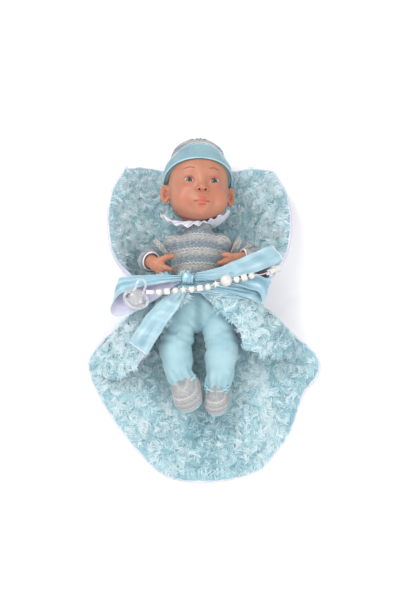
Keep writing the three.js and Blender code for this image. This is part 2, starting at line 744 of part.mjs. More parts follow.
const FLAP = {
  right: [
    [[-79, 33.4, 66], [-70, 33.4, 80], [-56, 33.4, 87], [-38, 33.4, 90], [-22, 33.4, 91]],
    [[-77, 16, 66], [-69, 16, 79], [-55, 16, 87], [-38, 16, 90], [-20, 16, 90.5]],
    [[-90, -3, 58], [-80, -3, 74], [-64, -2, 84], [-46, -1, 88], [-28, 0, 89]],
    [[-120, -28, 44], [-107, -26, 62], [-88, -25, 76], [-68, -24, 84], [-48, -24, 86]],
    [[-150, -60, 26], [-134, -62, 42], [-114, -62, 56], [-94, -62, 67], [-74, -60, 75]],
    [[-166, -80, 21], [-156, -96, 26], [-140, -106, 33], [-122, -104, 43], [-101, -93, 54]],
  ],
  left: [
    [[69, 33.4, 66], [60, 33.4, 80], [44, 33.4, 87], [22, 33.4, 90], [-12, 33.4, 91]],
    [[67, 16, 66], [59, 16, 79], [42, 16, 87], [18, 16, 90], [-11, 16, 90.5]],
    [[82, -5, 58], [72, -4, 74], [54, -3, 84], [32, -2, 88], [6, -1, 89]],
    [[108, -24, 46], [95, -24, 62], [76, -23, 76], [54, -22, 84], [28, -22, 87]],
    [[128, -46, 36], [115, -47, 52], [97, -47, 67], [76, -46, 78], [50, -44, 84]],
    [[146, -66, 26], [132, -72, 39], [112, -76, 52], [88, -77, 64], [58, -73, 76]],
  ],
};

// The ribbon's loop round the wrap: a flattened oval, wider than high.
function bandLoop(a, out, y) {
  const height = BAND.top - BAND.base;
  const c = Math.cos(a);
  const s = Math.sin(a);
  const x = Math.sign(c) * Math.abs(c) ** 0.72 * (BAND.half_width - BAND.thick + out);
  const z = Math.sign(s) * Math.abs(s) ** 0.72 * (height / 2 - BAND.thick + out);
  return V(BAND.x + x, y, BAND.base + height / 2 + z);
}

function bandRing(inner, outer, half) {
  return ringOf(
    (a) => [
      bandLoop(a, outer, BAND.y - half),
      bandLoop(a, outer, BAND.y + half),
      bandLoop(a, inner, BAND.y + half),
      bandLoop(a, inner, BAND.y - half),
    ],
    40,
  );
}

const bandRoom = bandRing(-GAP, 30, BAND.width / 2 + 0.6);

// Above the ribbon's upper edge the wrap is a hood with two wings, and below it a skirt for the legs.
const waist = BAND.y - BAND.width / 2 - 1;
const wrap = cut(sheet(UNDER, BLANKET.thick, 2, 1), bandRoom);
const beyondWaist = {
  blanket: block([-300, -400, -50], [300, waist, 200]),
  blanket_skirt: block([-300, waist - GAP, -50], [300, 400, 200]),
};
for (const [name, beyond] of Object.entries(beyondWaist)) piece(name, largest(cut(wrap, beyond)), "plush");
const blanketRoom = sheet(UNDER, BLANKET.thick + 2 * GAP, 2, 1);
for (const { name } of sides) {
  const flap = sheet(FLAP[name], BLANKET.thick, 2, 1);
  piece(`blanket_flap_${name}`, largest(cut(flap, bandRoom, blanketRoom)), "plush");
}

// ---- ribbon: band, knot, two loops and two tails ----------------------------------------------------

piece("ribbon_band", bandRing(0, BAND.thick, BAND.width / 2), "satin");

const KNOT = V(-24.5, 26.5, 103.2);
piece("ribbon_knot", ellipsoid(KNOT.toArray(), [11, 9.5, 4.4], 14, 8), "satin");

// A strip of ribbon along a line, with a half width at each point, lying across the line.
function strip(line, halfWidths, thick, lean = 0) {
  const net = line.map((p, i) => {
    const before = line[Math.max(i - 1, 0)];
    const after = line[Math.min(i + 1, line.length - 1)];
    const way = new THREE.Vector3().subVectors(after, before).setZ(0).normalize();
    const side = V(-way.y, way.x, 0).multiplyScalar(halfWidths[i]);
    return [-1, 0, 1].map((s) => [p.x + s * side.x, p.y + s * side.y, p.z + s * lean * halfWidths[i]]);
  });
  return sheet(net, thick, 2, 2);
}

const LOOP = {
  right: {
    line: [V(-36, 25, 103), V(-64, 19, 104), V(-96, 11, 98), V(-129, 6, 88)],
    half: [6, 12, 19, 24],
    thick: 5,
  },
  left: {
    line: [V(-13, 27, 102), V(22, 26, 102.4), V(58, 22, 99.6), V(89, 12, 91)],
    half: [6, 12, 15, 17],
    thick: 5,
  },
};
const TAIL = {
  right: {
    line: [V(-31, 12, 100.6), V(-45, -6, 98.8), V(-68, -32, 91), V(-96, -70, 72)],
    half: [5, 12, 15, 16],
    thick: 1.2,
  },
  left: {
    line: [V(-12, 34, 104), V(20, 42, 107), V(58, 54, 106), V(92, 66, 95), V(115, 72, 84)],
    half: [4, 10, 15, 15, 14],
    thick: 1.2,
  },
};
for (const { name } of sides) {
  const loop = LOOP[name];
  const knotRoom = ellipsoid(KNOT.toArray(), [11 + GAP, 9.5 + GAP, 4.4 + GAP], 14, 8);
  piece(`ribbon_loop_${name}`, largest(cut(strip(loop.line, loop.half, loop.thick), knotRoom)), "satin");
  const tail = TAIL[name];
  const loopRoom = strip(loop.line, loop.half.map((h) => h + GAP), loop.thick + 2 * GAP);
  const cutTail = cut(strip(tail.line, tail.half, tail.thick), knotRoom, loopRoom);
  piece(`ribbon_tail_${name}`, largest(cutTail), "satin");
}

// ---- pacifier ---------------------------------------------------------------------------------------

const PACIFIER = { at: V(-99, -6, 108.4), knob: 11, ring: 6.6, ring_wire: 1.7, pin_z: 5, plate: 2.2 };

function shieldPlate() {
  const outline = new THREE.Shape();
  outline.absellipse(0, 0, 19, 14.5, 0, 2 * Math.PI);
  for (const x of [-12.5, 12.5]) {
    const vent = new THREE.Path();
    vent.absellipse(x, 0, 2.6, 4, 0, 2 * Math.PI, true);
    outline.holes.push(vent);
  }
  const flat = { depth: PACIFIER.plate, curveSegments: 8, bevelEnabled: false };
  return stripped(new THREE.ExtrudeGeometry(outline, flat));
}

const pacifierTilt = new THREE.Matrix4()
  .makeTranslation(...PACIFIER.at.toArray())
  .multiply(new THREE.Matrix4().makeRotationFromEuler(new THREE.Euler(0.08, 0.1, -0.35)));
const onPacifier = (made) => made.transform([...pacifierTilt.elements]);

piece("pacifier_shield", onPacifier(solid(outward(mergeVertices(shieldPlate(), 1e-4)))), "clear");

// A domed knob with two slots for the ring's legs, and a bore across the boss between them for its pin.
function knob() {
  const low = PACIFIER.plate + GAP;
  const dome = ellipsoid([0, 0, low], [PACIFIER.knob, PACIFIER.knob, 7.4], 16, 8);
  const base = block([-20, -20, -20], [20, 20, low]);
  const clear = PACIFIER.ring_wire + GAP;
  const slots = [-1, 1].map((way) =>
    block([way * PACIFIER.ring - clear, -20, 2.9], [way * PACIFIER.ring + clear, 20, 20]),
  );
  const bore = bar(V(-PACIFIER.ring, 0, PACIFIER.pin_z), V(PACIFIER.ring, 0, PACIFIER.pin_z), 1.5, 10);
  return largest(onPacifier(cut(dome, base, ...slots, bore)));
}
piece("pacifier_knob", knob(), "clear");

// A long ring that swings on the straight pin between its legs.
function pacifierRing() {
  const reach = PACIFIER.ring;
  const z = PACIFIER.pin_z;
  const bow = [V(reach, 0, z), V(reach, 11, z)];
  for (let i = 0; i <= 6; i++) {
    const a = Math.PI * (i / 6);
    bow.push(V(reach * Math.cos(a), 22 + reach * Math.sin(a), z));
  }
  bow.push(V(-reach, 11, z), V(-reach, 0, z));
  const pin = bar(V(-reach, 0, z), V(reach, 0, z), 1.15, 10);
  return onPacifier(join(limb(bow, [PACIFIER.ring_wire, PACIFIER.ring_wire], 8, 16), pin));
}
piece("pacifier_ring", pacifierRing(), "clear");

function teat() {
  const profile = [
    [0, 0],
    [5.5, 0],
    [4.6, -2.5],
    [5.4, -4.2],
    [4, -5.6],
    [0, -6],
  ];
  const geometry = new THREE.LatheGeometry(profile.map(([r, h]) => new THREE.Vector2(r, h)), 16);
  geometry.rotateX(Math.PI / 2);
  geometry.translate(0, 0, -GAP);
  return onPacifier(solid(outward(mergeVertices(stripped(geometry), 1e-4))));
}
piece("pacifier_teat", teat(), "clear");

// ---- bead chain: cord, end bar, beads and clip -------------------------------------------------------

const CHAIN = [
  V(-73.5, 2.6, 111.8), V(-66, 3.4, 111.3), V(-54.3, 4.5, 111.1), V(-42.4, 5.6, 110.9),
  V(-30.6, 6.7, 110.8), V(-18.8, 7.8, 110.8), V(-7, 9.2, 110.9), V(4.7, 11, 111.2),
  V(16.5, 15, 112.2), V(31, 20, 114), V(46, 22.6, 111.4), V(57.2, 25.2, 109.2),
  V(68, 29, 107.4), V(76, 30.6, 106.2), V(84, 32, 105), V(91, 34.5, 104.4),
];
const chainLine = smoothLine(CHAIN);

function cordTube(radius, sides) {
  const section = new THREE.Shape();
  section.moveTo(radius, 0);
  for (let k = 1; k < sides; k++) {
    const a = (2 * Math.PI * k) / sides;
    section.lineTo(radius * Math.cos(a), radius * Math.sin(a));
  }
  const geometry = new THREE.ExtrudeGeometry(section, { steps: 38, extrudePath: chainLine });
  return solid(outward(mergeVertices(stripped(geometry), 1e-4)));
}
piece("chain_cord", cordTube(CORD / 2, 8), "cord");
const cordRoom = cordTube(CORD / 2 + GAP, 8);

// Outlines of the shaped beads, as polar radii.
const star = (a) => 0.78 + 0.22 * Math.cos(5 * a);
const heart = (a) => {
  const turned = a - Math.PI / 2;
  const dent = 0.42 * Math.exp(-((turned / 0.45) ** 2));
  const point = 0.06 * Math.exp(-(((Math.abs(turned) - Math.PI) / 0.5) ** 2));
  return 0.98 - dent - 0.1 * Math.abs(Math.sin(turned)) + point;
};

function shapedBead(radiusOf) {
  const outline = new THREE.Shape();
  const many = 20;
  for (let k = 0; k < many; k++) {
    const a = -Math.PI / 2 + (2 * Math.PI * k) / many;
    const r = radiusOf(a) * (BEAD / 2);
    if (k === 0) outline.moveTo(r * Math.cos(a), r * Math.sin(a));
    else outline.lineTo(r * Math.cos(a), r * Math.sin(a));
  }
  const geometry = new THREE.ExtrudeGeometry(outline, { depth: 6, bevelEnabled: false });
  geometry.translate(0, 0, -3);
  return stripped(geometry);
}

const roundBead = (radius) => stripped(new THREE.SphereGeometry(radius, 10, 6));
const squareBead = () => stripped(new THREE.BoxGeometry(BEAD * 0.9, BEAD * 0.9, BEAD * 0.9));

const BEADS = [
  ["bead_heart_1", 1, () => shapedBead(heart)],
  ["bead_square_1", 2, squareBead],
  ["bead_round_1", 3, () => roundBead(BEAD / 2)],
  ["bead_star_1", 4, () => shapedBead(star)],
  ["bead_heart_2", 5, () => shapedBead(heart)],
  ["bead_square_2", 6, squareBead],
  ["bead_round_2", 7, () => roundBead(BEAD / 2)],
  ["bead_star_2", 8, () => shapedBead(star)],
  ["bead_large", 9, () => roundBead(LARGE_BEAD / 2)],
  ["bead_heart_3", 10, () => shapedBead(heart)],
  ["bead_square_3", 11, squareBead],
  ["bead_round_3", 12, () => roundBead(BEAD / 2)],
];
for (const [name, at, make] of BEADS) {
  const along = new THREE.Vector3().subVectors(CHAIN[at + 1], CHAIN[at - 1]);
  const geometry = make();
  geometry.rotateZ(Math.atan2(along.y, along.x));
  geometry.translate(...CHAIN[at].toArray());
  piece(name, largest(cut(solid(outward(mergeVertices(geometry, 1e-4))), cordRoom)), "bead");
}

// The flat bar that ties the cord's end to the pacifier, with a round tab for the cord.
function chainBar() {
  const end = CHAIN[0];
  const geometry = new THREE.BoxGeometry(11, 6, 2.2);
  geometry.translate(end.x - 5.5, end.y, end.z + 1.6);
  const tab = bar(V(end.x - 4, end.y, end.z), V(end.x + 1.6, end.y, end.z), 1.9, 10);
  return join(solid(outward(mergeVertices(stripped(geometry), 1e-4))), tab);
}
piece("chain_bar", largest(cut(chainBar(), cordRoom)), "white");

// The clip that holds the chain's far end to the wrap: a body and a sprung lever.
const CLIP = V(98.5, 37, 102.5);
const LEVER_Z = 2.4;
const clipTurn = new THREE.Matrix4()
  .makeTranslation(...CLIP.toArray())
  .multiply(new THREE.Matrix4().makeRotationFromEuler(new THREE.Euler(0, 0.28, 0.5)));
const onClip = (made) => made.transform([...clipTurn.elements]);

function clipBody() {
  const plate = block([-6, -5, -2.6], [13, 5, -1.2]);
  const lugs = [-1, 1].map((way) => block([1, way * 5 - 0.9, -2.6], [6, way * 5 + 0.9, 4]));
  const pin = bar(V(3.5, -5.5, LEVER_Z), V(3.5, 5.5, LEVER_Z), 0.8, 12);
  const loop = bar(V(-9, 0, -1.9), V(-5.5, 0, -1.9), 2, 12);
  return join(plate, ...lugs, pin, loop);
}
piece("clip_body", largest(cut(onClip(clipBody()), cordRoom)), "white");

function clipLever() {
  const plate = block([-4, -3.4, LEVER_Z - 1], [13, 3.4, LEVER_Z + 1]);
  const hole = bar(V(3.5, -6, LEVER_Z), V(3.5, 6, LEVER_Z), 0.8 + GAP, 12);
  const hub = bar(V(3.5, -3.4, LEVER_Z), V(3.5, 3.4, LEVER_Z), 2, 14);
  return onClip(cut(join(plate, hub), hole));
}
piece("clip_lever", clipLever(), "white");

// ---- the whole object stands on its frame: origin under the middle of its box ------------------------

const box = new THREE.Box3().setFromObject(doll);
const middle = box.getCenter(new THREE.Vector3());
doll.position.set(-middle.x, -middle.y, -box.min.z);

export default doll;
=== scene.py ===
import json
import math

import bpy
import numpy as np
from mathutils import Matrix, Vector


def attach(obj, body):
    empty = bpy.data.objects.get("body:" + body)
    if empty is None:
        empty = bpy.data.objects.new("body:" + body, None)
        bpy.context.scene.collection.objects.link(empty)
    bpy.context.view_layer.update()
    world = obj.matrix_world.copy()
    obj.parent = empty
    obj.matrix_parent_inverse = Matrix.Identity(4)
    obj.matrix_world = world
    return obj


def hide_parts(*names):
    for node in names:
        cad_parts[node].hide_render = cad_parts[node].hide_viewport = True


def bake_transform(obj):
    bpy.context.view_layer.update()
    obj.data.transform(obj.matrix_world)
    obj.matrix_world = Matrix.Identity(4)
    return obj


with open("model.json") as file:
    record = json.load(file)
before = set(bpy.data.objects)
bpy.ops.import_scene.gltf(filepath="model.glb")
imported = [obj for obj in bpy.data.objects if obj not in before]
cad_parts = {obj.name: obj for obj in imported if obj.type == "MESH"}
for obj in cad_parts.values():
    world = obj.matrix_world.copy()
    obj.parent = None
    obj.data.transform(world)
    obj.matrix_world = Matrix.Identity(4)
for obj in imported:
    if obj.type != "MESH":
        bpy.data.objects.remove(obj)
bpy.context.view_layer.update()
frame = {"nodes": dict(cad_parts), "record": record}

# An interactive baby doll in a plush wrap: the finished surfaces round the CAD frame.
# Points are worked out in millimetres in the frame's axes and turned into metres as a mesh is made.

MM = 0.001
RNG = np.random.default_rng(7)

# ---- driving sizes, in millimetres ----

BODY_X = -10
HEAD = {"centre": (-10, 177, 66), "radii": (46, 59.5, 50), "yaw": 7.5}
EYE = {"radius": 9, "x": 18.8, "y": -2, "z": 39.8, "half_width": 7.5, "top": 4.1, "foot": 3.3}
HAT = {"radii": (51.9, 64.9, 56.9), "temple_y": 13, "tilt": 21.5, "band": 27}
SHOULDER = {"y": 92, "z": 52, "radius": 19}
SWEATER = {"centre": (BODY_X, 60, 48), "radii": (40.8, 57, 36), "hem_y": 22}
BAND = {"x": -5, "y": 16, "width": 34, "half_width": 86, "base": 0.6, "top": 98.5}
KNOT = (-24.5, 26.5, 103.2)
CORD = 1.6
BEAD = 9.6
LARGE_BEAD = 16.8
PACIFIER = {"at": (-99, -6, 108.4), "turn": (0.08, 0.1, -0.35), "ring": 6.6, "wire": 1.7, "pin_z": 5}


# ---- shapes from arrays of points ----

def unit(v):
    return v / np.maximum(np.linalg.norm(v, axis=-1, keepdims=True), 1e-9)


def smoothstep(low, high, x):
    t = np.clip((np.asarray(x, float) - low) / (high - low), 0, 1)
    return t * t * (3 - 2 * t)


def spline(points, per):
    """A smooth line through points, or through whole rows of them, with `per` steps to each span."""
    p = np.asarray(points, float)
    p = np.concatenate([[2 * p[0] - p[1]], p, [2 * p[-1] - p[-2]]])
    gap = np.maximum(np.linalg.norm(np.diff(p, axis=0), axis=-1, keepdims=True), 1e-6) ** 0.5
    a, b, c, d = p[:-3], p[1:-2], p[2:-1], p[3:]
    g0, g1, g2 = gap[:-2], gap[1:-1], gap[2:]
    leave = ((b - a) / g0 - (c - a) / (g0 + g1) + (c - b) / g1) * g1
    enter = ((c - b) / g1 - (d - b) / (g1 + g2) + (d - c) / g2) * g1
    t = (np.arange(per) / per).reshape(1, per, *[1] * (p.ndim - 1))
    b, c, leave, enter = (x[:, None] for x in (b, c, leave, enter))
    curved = b + leave * t + (3 * (c - b) - 2 * leave - enter) * t**2 + (2 * (b - c) + leave + enter) * t**3
    return np.concatenate([curved.reshape(-1, *p.shape[1:]), p[-2:-1]])


def run_along(line):
    """How far along a line each of its points is."""
    return np.concatenate([[0], np.cumsum(np.linalg.norm(np.diff(line, axis=0), axis=1))])


def closed_line(ring):
    """A ring of points as a line that runs one step past its start."""
    return np.concatenate([ring, ring[:2]])


def once_round(many):
    """Angles evenly spaced round a circle."""
    return np.linspace(0, 2 * np.pi, many, endpoint=False)


def bell(x, middle, width):
    return np.exp(-(((x - middle) / width) ** 2))


def uv_of(u, v):
    return np.stack(np.broadcast_arrays(u, v), -1).reshape(-1, 2)


def net_grid(net, across, along):
    """A smooth grid of points through a net of rows."""
    rows = np.swapaxes(spline(np.swapaxes(np.asarray(net, float), 0, 1), across), 0, 1)
    return spline(rows, along)


def grid_normals(grid):
    return unit(np.cross(np.gradient(grid, axis=0), np.gradient(grid, axis=1)))


def grid_faces(rows, cols, closed=False):
    """Quads over a grid of rows x cols points, joined round the columns if closed."""
    i, k = np.meshgrid(np.arange(rows - 1), np.arange(cols if closed else cols - 1), indexing="ij")
    k1 = (k + 1) % cols
    quads = np.stack([i * cols + k, i * cols + k1, (i + 1) * cols + k1, (i + 1) * cols + k], -1)
    return quads.reshape(-1, 4)


def piece(name, points, faces, paints, body=None, slot=None, stands_for=(), which=None, uv=None,
          fields=None):
    """A smooth mesh from points in millimetres, with its materials, body and the CAD nodes it stands for."""
    points = np.asarray(points, float).reshape(-1, 3) * MM
    faces = np.asarray(faces, int)
    mesh = bpy.data.meshes.new(name)
    mesh.vertices.add(len(points))
    mesh.vertices.foreach_set("co", points.ravel())
    mesh.loops.add(faces.size)
    mesh.loops.foreach_set("vertex_index", faces.ravel())
    mesh.polygons.add(len(faces))
    mesh.polygons.foreach_set("loop_start", np.arange(0, faces.size, faces.shape[1]))
    for paint in paints if isinstance(paints, (list, tuple)) else [paints]:
        mesh.materials.append(paint)
    if which is not None:
        mesh.polygons.foreach_set("material_index", np.asarray(which, np.int32))
    mesh.update(calc_edges=True)
    mesh.polygons.foreach_set("use_smooth", np.ones(len(faces), bool))
    if uv is not None:
        layer = mesh.uv_layers.new(name="UVMap")
        layer.data.foreach_set("uv", np.asarray(uv, float).reshape(-1, 2)[faces.ravel()].ravel())
    for key, values in (fields or {}).items():
        field = mesh.attributes.new(key, "FLOAT", "POINT")
        field.data.foreach_set("value", np.asarray(values, np.float32).ravel())
    mesh.validate()
    made = bpy.data.objects.new(name, mesh)
    bpy.context.scene.collection.objects.link(made)
    if body:
        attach(made, body)
    if stands_for:
        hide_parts(*stands_for)
    return made


def joined(*parts):
    """Points and faces of several meshes as one."""
    points, faces, start = [], [], 0
    for p, f in parts:
        p = np.asarray(p, float).reshape(-1, 3)
        points.append(p)
        faces.append(np.asarray(f) + start)
        start += len(p)
    return np.concatenate(points), np.concatenate(faces)


def part_of(points, faces, chosen):
    """The chosen quads, with only the points that they use."""
    used, kept = np.unique(faces[chosen], return_inverse=True)
    return points[used], kept.reshape(-1, 4)


def frames(path, up):
    """The side and lift of a line at each point, carried along without twist."""
    way = unit(np.gradient(path, axis=0))
    side = np.empty_like(path)
    now = np.asarray(up, float)
    for i, w in enumerate(way):
        now = now - w * (now @ w)
        now = now / np.linalg.norm(now)
        side[i] = now
    return side, np.cross(way, side)


def rings(line, side, lift, a, radii):
    """Rings round a line at the turns a, with one radius for each point of the line and each turn."""
    around = np.cos(a)[None, :, None] * side[:, None] + np.sin(a)[None, :, None] * lift[:, None]
    return line[:, None] + radii[..., None] * around


def tube(path, radii, sides):
    """A grid of rings round a line. radii is one number, or one per point."""
    side, lift = frames(path, (0, 0, 1))
    r = np.broadcast_to(np.asarray(radii, float).reshape(-1, 1), (len(path), sides))
    return rings(path, side, lift, once_round(sides), r)


def capped(grid):
    """Quads over a closed tube's grid, with a small fan of quads at each end."""
    rows, sides, _ = grid.shape
    faces = grid_faces(rows, sides, closed=True)
    ends = []
    for row, turn in ((0, -1), (rows - 1, 1)):
        ring = np.arange(sides)[::turn] + row * sides
        ends += [[ring[k], ring[k + 1], ring[-2 - k], ring[-1 - k]] for k in range(sides // 2 - 1)]
    return grid.reshape(-1, 3), np.concatenate([faces, ends])


def tube_piece(name, path, radii, paint, sides, **rest):
    points, faces = capped(tube(np.asarray(path, float), radii, sides))
    return piece(name, points, faces, paint, **rest)


def sheet_of(grid, above, below, closed=False):
    """A thin closed cloth about a grid, as points and quads. Normals point to the side called above."""
    normal = grid_normals(grid)
    if closed:
        wrapped = np.concatenate([grid[:, -2:], grid, grid[:, :2]], axis=1)
        normal = grid_normals(wrapped)[:, 2:-2]
    rows, cols, _ = grid.shape
    top = grid + normal * np.broadcast_to(above, (rows, cols))[..., None]
    low = grid - normal * np.broadcast_to(below, (rows, cols))[..., None]
    many = rows * cols
    faces = [grid_faces(rows, cols, closed), grid_faces(rows, cols, closed)[:, ::-1] + many]
    if closed:
        rims = [np.arange(cols), (rows - 1) * cols + np.arange(cols)[::-1]]
    else:
        first, last = np.arange(cols), (rows - 1) * cols + np.arange(cols)
        left, right = np.arange(rows) * cols, np.arange(rows) * cols + cols - 1
        rims = [np.concatenate([first[:-1], right[:-1], last[::-1][:-1], left[::-1][:-1]])]
    for rim in rims:
        nxt = np.roll(rim, -1)
        faces.append(np.stack([rim, rim + many, nxt + many, nxt], 1))
    return np.concatenate([top.reshape(-1, 3), low.reshape(-1, 3)]), np.concatenate(faces)


# ---- smooth solids from distance fields ----

def ball(p, centre, radius):
    return np.linalg.norm(p - np.float32(centre), axis=-1) - radius


def egg(p, centre, radii):
    q = (p - np.float32(centre)) / np.float32(radii)
    k = np.linalg.norm(q, axis=-1)
    return k * (k - 1) / np.maximum(np.linalg.norm(q / np.float32(radii), axis=-1), 1e-6)


def rod(p, a, b, ra, rb):
    a, b = np.float32(a), np.float32(b)
    along = np.clip(((p - a) @ (b - a)) / ((b - a) @ (b - a)), 0, 1)
    return np.linalg.norm(p - a - along[..., None] * (b - a), axis=-1) - (ra + (rb - ra) * along)


def rods(p, points, radii, k=1.5):
    d = None
    for i in range(len(points) - 1):
        here = rod(p, points[i], points[i + 1], radii[i], radii[i + 1])
        d = here if d is None else melt(d, here, k)
    return d


def melt(a, b, k):
    """The two fields together, with a soft fillet of size k between them."""
    h = np.maximum(k - np.abs(a - b), 0) / k
    return np.minimum(a, b) - h * h * k / 4


def carve(a, b, k):
    """Field a with b taken away, with a soft edge of size k."""
    h = np.maximum(k - np.abs(a + b), 0) / k
    return np.maximum(a, -b) + h * h * k / 4


def skin_of(field, low, high, step):
    """The surface where the field is zero, as points and quads: one point in each cell that it crosses."""
    axes = [np.arange(lo, hi + step, step, dtype=np.float32) for lo, hi in zip(low, high)]
    value = field(np.stack(np.meshgrid(*axes, indexing="ij"), -1))
    cells = tuple(n - 1 for n in value.shape)
    total, count, quads = np.zeros((3, np.prod(cells))), np.zeros(np.prod(cells)), []
    for axis in range(3):
        near, far = np.moveaxis(value, axis, 0)[:-1], np.moveaxis(value, axis, 0)[1:]
        at = np.argwhere((near < 0) != (far < 0))
        a, b = near[tuple(at.T)], far[tuple(at.T)]
        spot = np.insert(at[:, 1:], axis, at[:, 0], axis=1)
        point = spot.astype(float)
        point[:, axis] += a / (a - b)
        u, v = (axis + 1) % 3, (axis + 2) % 3
        ring = []
        for du, dv in ((0, 0), (-1, 0), (-1, -1), (0, -1)):
            cell = spot.copy()
            cell[:, u] += du
            cell[:, v] += dv
            flat = np.ravel_multi_index(cell.T, cells)
            ring.append(flat)
            count += np.bincount(flat, minlength=len(count))
            for k in range(3):
                total[k] += np.bincount(flat, weights=point[:, k], minlength=len(count))
        quad = np.stack(ring, 1)
        quads.append(np.where((a < 0)[:, None], quad, quad[:, ::-1]))
    quads = np.concatenate(quads)
    used, quads = np.unique(quads, return_inverse=True)
    points = np.array(low) + step * (total[:, used] / count[used]).T
    nudge = np.eye(3) * 0.2
    for _ in range(2):  # settle each point on the true surface
        rise = [field(np.float32(points + n)) - field(np.float32(points - n)) for n in nudge]
        slope = np.stack(rise, -1) / 0.4
        steep = np.maximum((slope**2).sum(-1), 0.2)
        points = points - slope * (field(np.float32(points)) / steep)[:, None] * 0.8
    return points, quads.reshape(-1, 4)


# ---- materials ----

class Paint:
    """A Principled material built node by node."""

    def __init__(self, name, **sockets):
        self.material = bpy.data.materials.new(name)
        self.material.use_nodes = True
        self.tree = self.material.node_tree
        self.shader = self.tree.nodes["Principled BSDF"]
        for socket, value in sockets.items():
            self.shader.inputs[socket.replace("_", " ")].default_value = value

    def node(self, kind, *inputs, out=0, **settings):
        """A node with its first inputs in order: each a number, a colour, another node's output or None."""
        made = self.tree.nodes.new("ShaderNode" + kind)
        for key, value in settings.items():
            setattr(made, key, value)
        for socket, value in zip(made.inputs, inputs):
            self.feed(socket, value)
        return made.outputs[out]

    def feed(self, socket, value):
        if isinstance(value, bpy.types.NodeSocket):
            self.tree.links.new(value, socket)
        elif value is not None:
            socket.default_value = value

    def sum(self, operation, *values):
        return self.node("Math", *values, operation=operation)

    def place(self, kind="Object"):
        return self.node("TexCoord", out=("Generated", "Normal", "UV", "Object").index(kind))

    def field(self, name):
        return self.node("Attribute", out=2, attribute_name=name)

    def noise(self, scale, detail=3, stretch=None, kind="Object", rough=0.55):
        where = self.place(kind)
        if stretch:
            where = self.node("Mapping", where, None, None, stretch)
        made = self.tree.nodes.new("ShaderNodeTexNoise")
        self.feed(made.inputs["Vector"], where)
        made.inputs["Scale"].default_value = scale
        made.inputs["Detail"].default_value = detail
        made.inputs["Roughness"].default_value = rough
        return made.outputs[0]

    def ramp(self, value, *stops):
        """A colour ramp over (place, colour) stops."""
        made = self.tree.nodes.new("ShaderNodeValToRGB")
        bar = made.color_ramp.elements
        while len(bar) < len(stops):
            bar.new(0.5)
        for element, (at, colour) in zip(bar, stops):
            element.position = at
            element.color = (*colour, 1)
        self.feed(made.inputs[0], value)
        return made.outputs[0]

    def step(self, value, low, high):
        made = self.tree.nodes.new("ShaderNodeMapRange")
        made.interpolation_type = "SMOOTHSTEP"
        for socket, number in zip(list(made.inputs)[:3], (value, low, high)):
            self.feed(socket, number)
        return made.outputs[0]

    def mix(self, share, a, b):
        made = self.tree.nodes.new("ShaderNodeMix")
        made.data_type = "RGBA"
        for socket, value in zip((made.inputs[0], made.inputs[6], made.inputs[7]), (share, a, b)):
            self.feed(socket, (*value, 1) if isinstance(value, tuple) and len(value) == 3 else value)
        return made.outputs[2]

    def colour(self, value):
        self.feed(self.shader.inputs["Base Color"], (*value, 1) if isinstance(value, tuple) else value)

    def bump(self, height, depth, strength):
        made = self.tree.nodes.new("ShaderNodeBump")
        made.inputs["Strength"].default_value = strength
        made.inputs["Distance"].default_value = depth * MM
        self.feed(made.inputs["Height"], height)
        self.feed(self.shader.inputs["Normal"], made.outputs[0])
        return self


def rough_patches(paint, middle, spread, scale=90):
    """Roughness that wanders a little over the surface."""
    wander = paint.sum("MULTIPLY_ADD", paint.noise(scale), spread, middle - spread / 2)
    paint.feed(paint.shader.inputs["Roughness"], wander)


def skin_paint():
    """Soft vinyl: peach, with a blush, painted lips, a warm line round the eyes and painted shade in the face's
    creases.
    """
    paint = Paint("skin", Subsurface_Weight=0.18, Subsurface_Scale=0.003, Subsurface_Radius=(1, 0.35, 0.2))
    base = paint.mix(paint.step(paint.noise(35, 2), 0.3, 0.7), (0.45, 0.185, 0.11), (0.51, 0.22, 0.137))
    blushed = paint.mix(paint.sum("MULTIPLY", paint.field("blush"), 0.7), base, (0.56, 0.165, 0.11))
    # painted shade: darker in the nostrils, the mouth's slot, the fold over each eye and the ear's bowl
    shaded = paint.mix(paint.sum("MULTIPLY", paint.field("crease_shade"), 0.8), blushed, (0.24, 0.06, 0.03))
    ringed = paint.mix(paint.sum("MULTIPLY", paint.field("lid"), 0.85), shaded, (0.5, 0.1, 0.03))
    lips = paint.mix(paint.noise(160, 2), (0.54, 0.1, 0.075), (0.65, 0.165, 0.125))
    paint.colour(paint.mix(paint.field("lip"), ringed, lips))
    gloss = paint.sum("MULTIPLY_ADD", paint.field("lip"), -0.2, 0.44)
    paint.feed(paint.shader.inputs["Roughness"], gloss)
    return paint.bump(paint.noise(900, 2), 0.12, 0.5).material


def vinyl_paint():
    paint = Paint("body_vinyl", Roughness=0.55)
    paint.colour(paint.mix(paint.noise(40), (0.6, 0.33, 0.22), (0.68, 0.4, 0.28)))
    return paint.bump(paint.noise(700), 0.1, 0.4).material


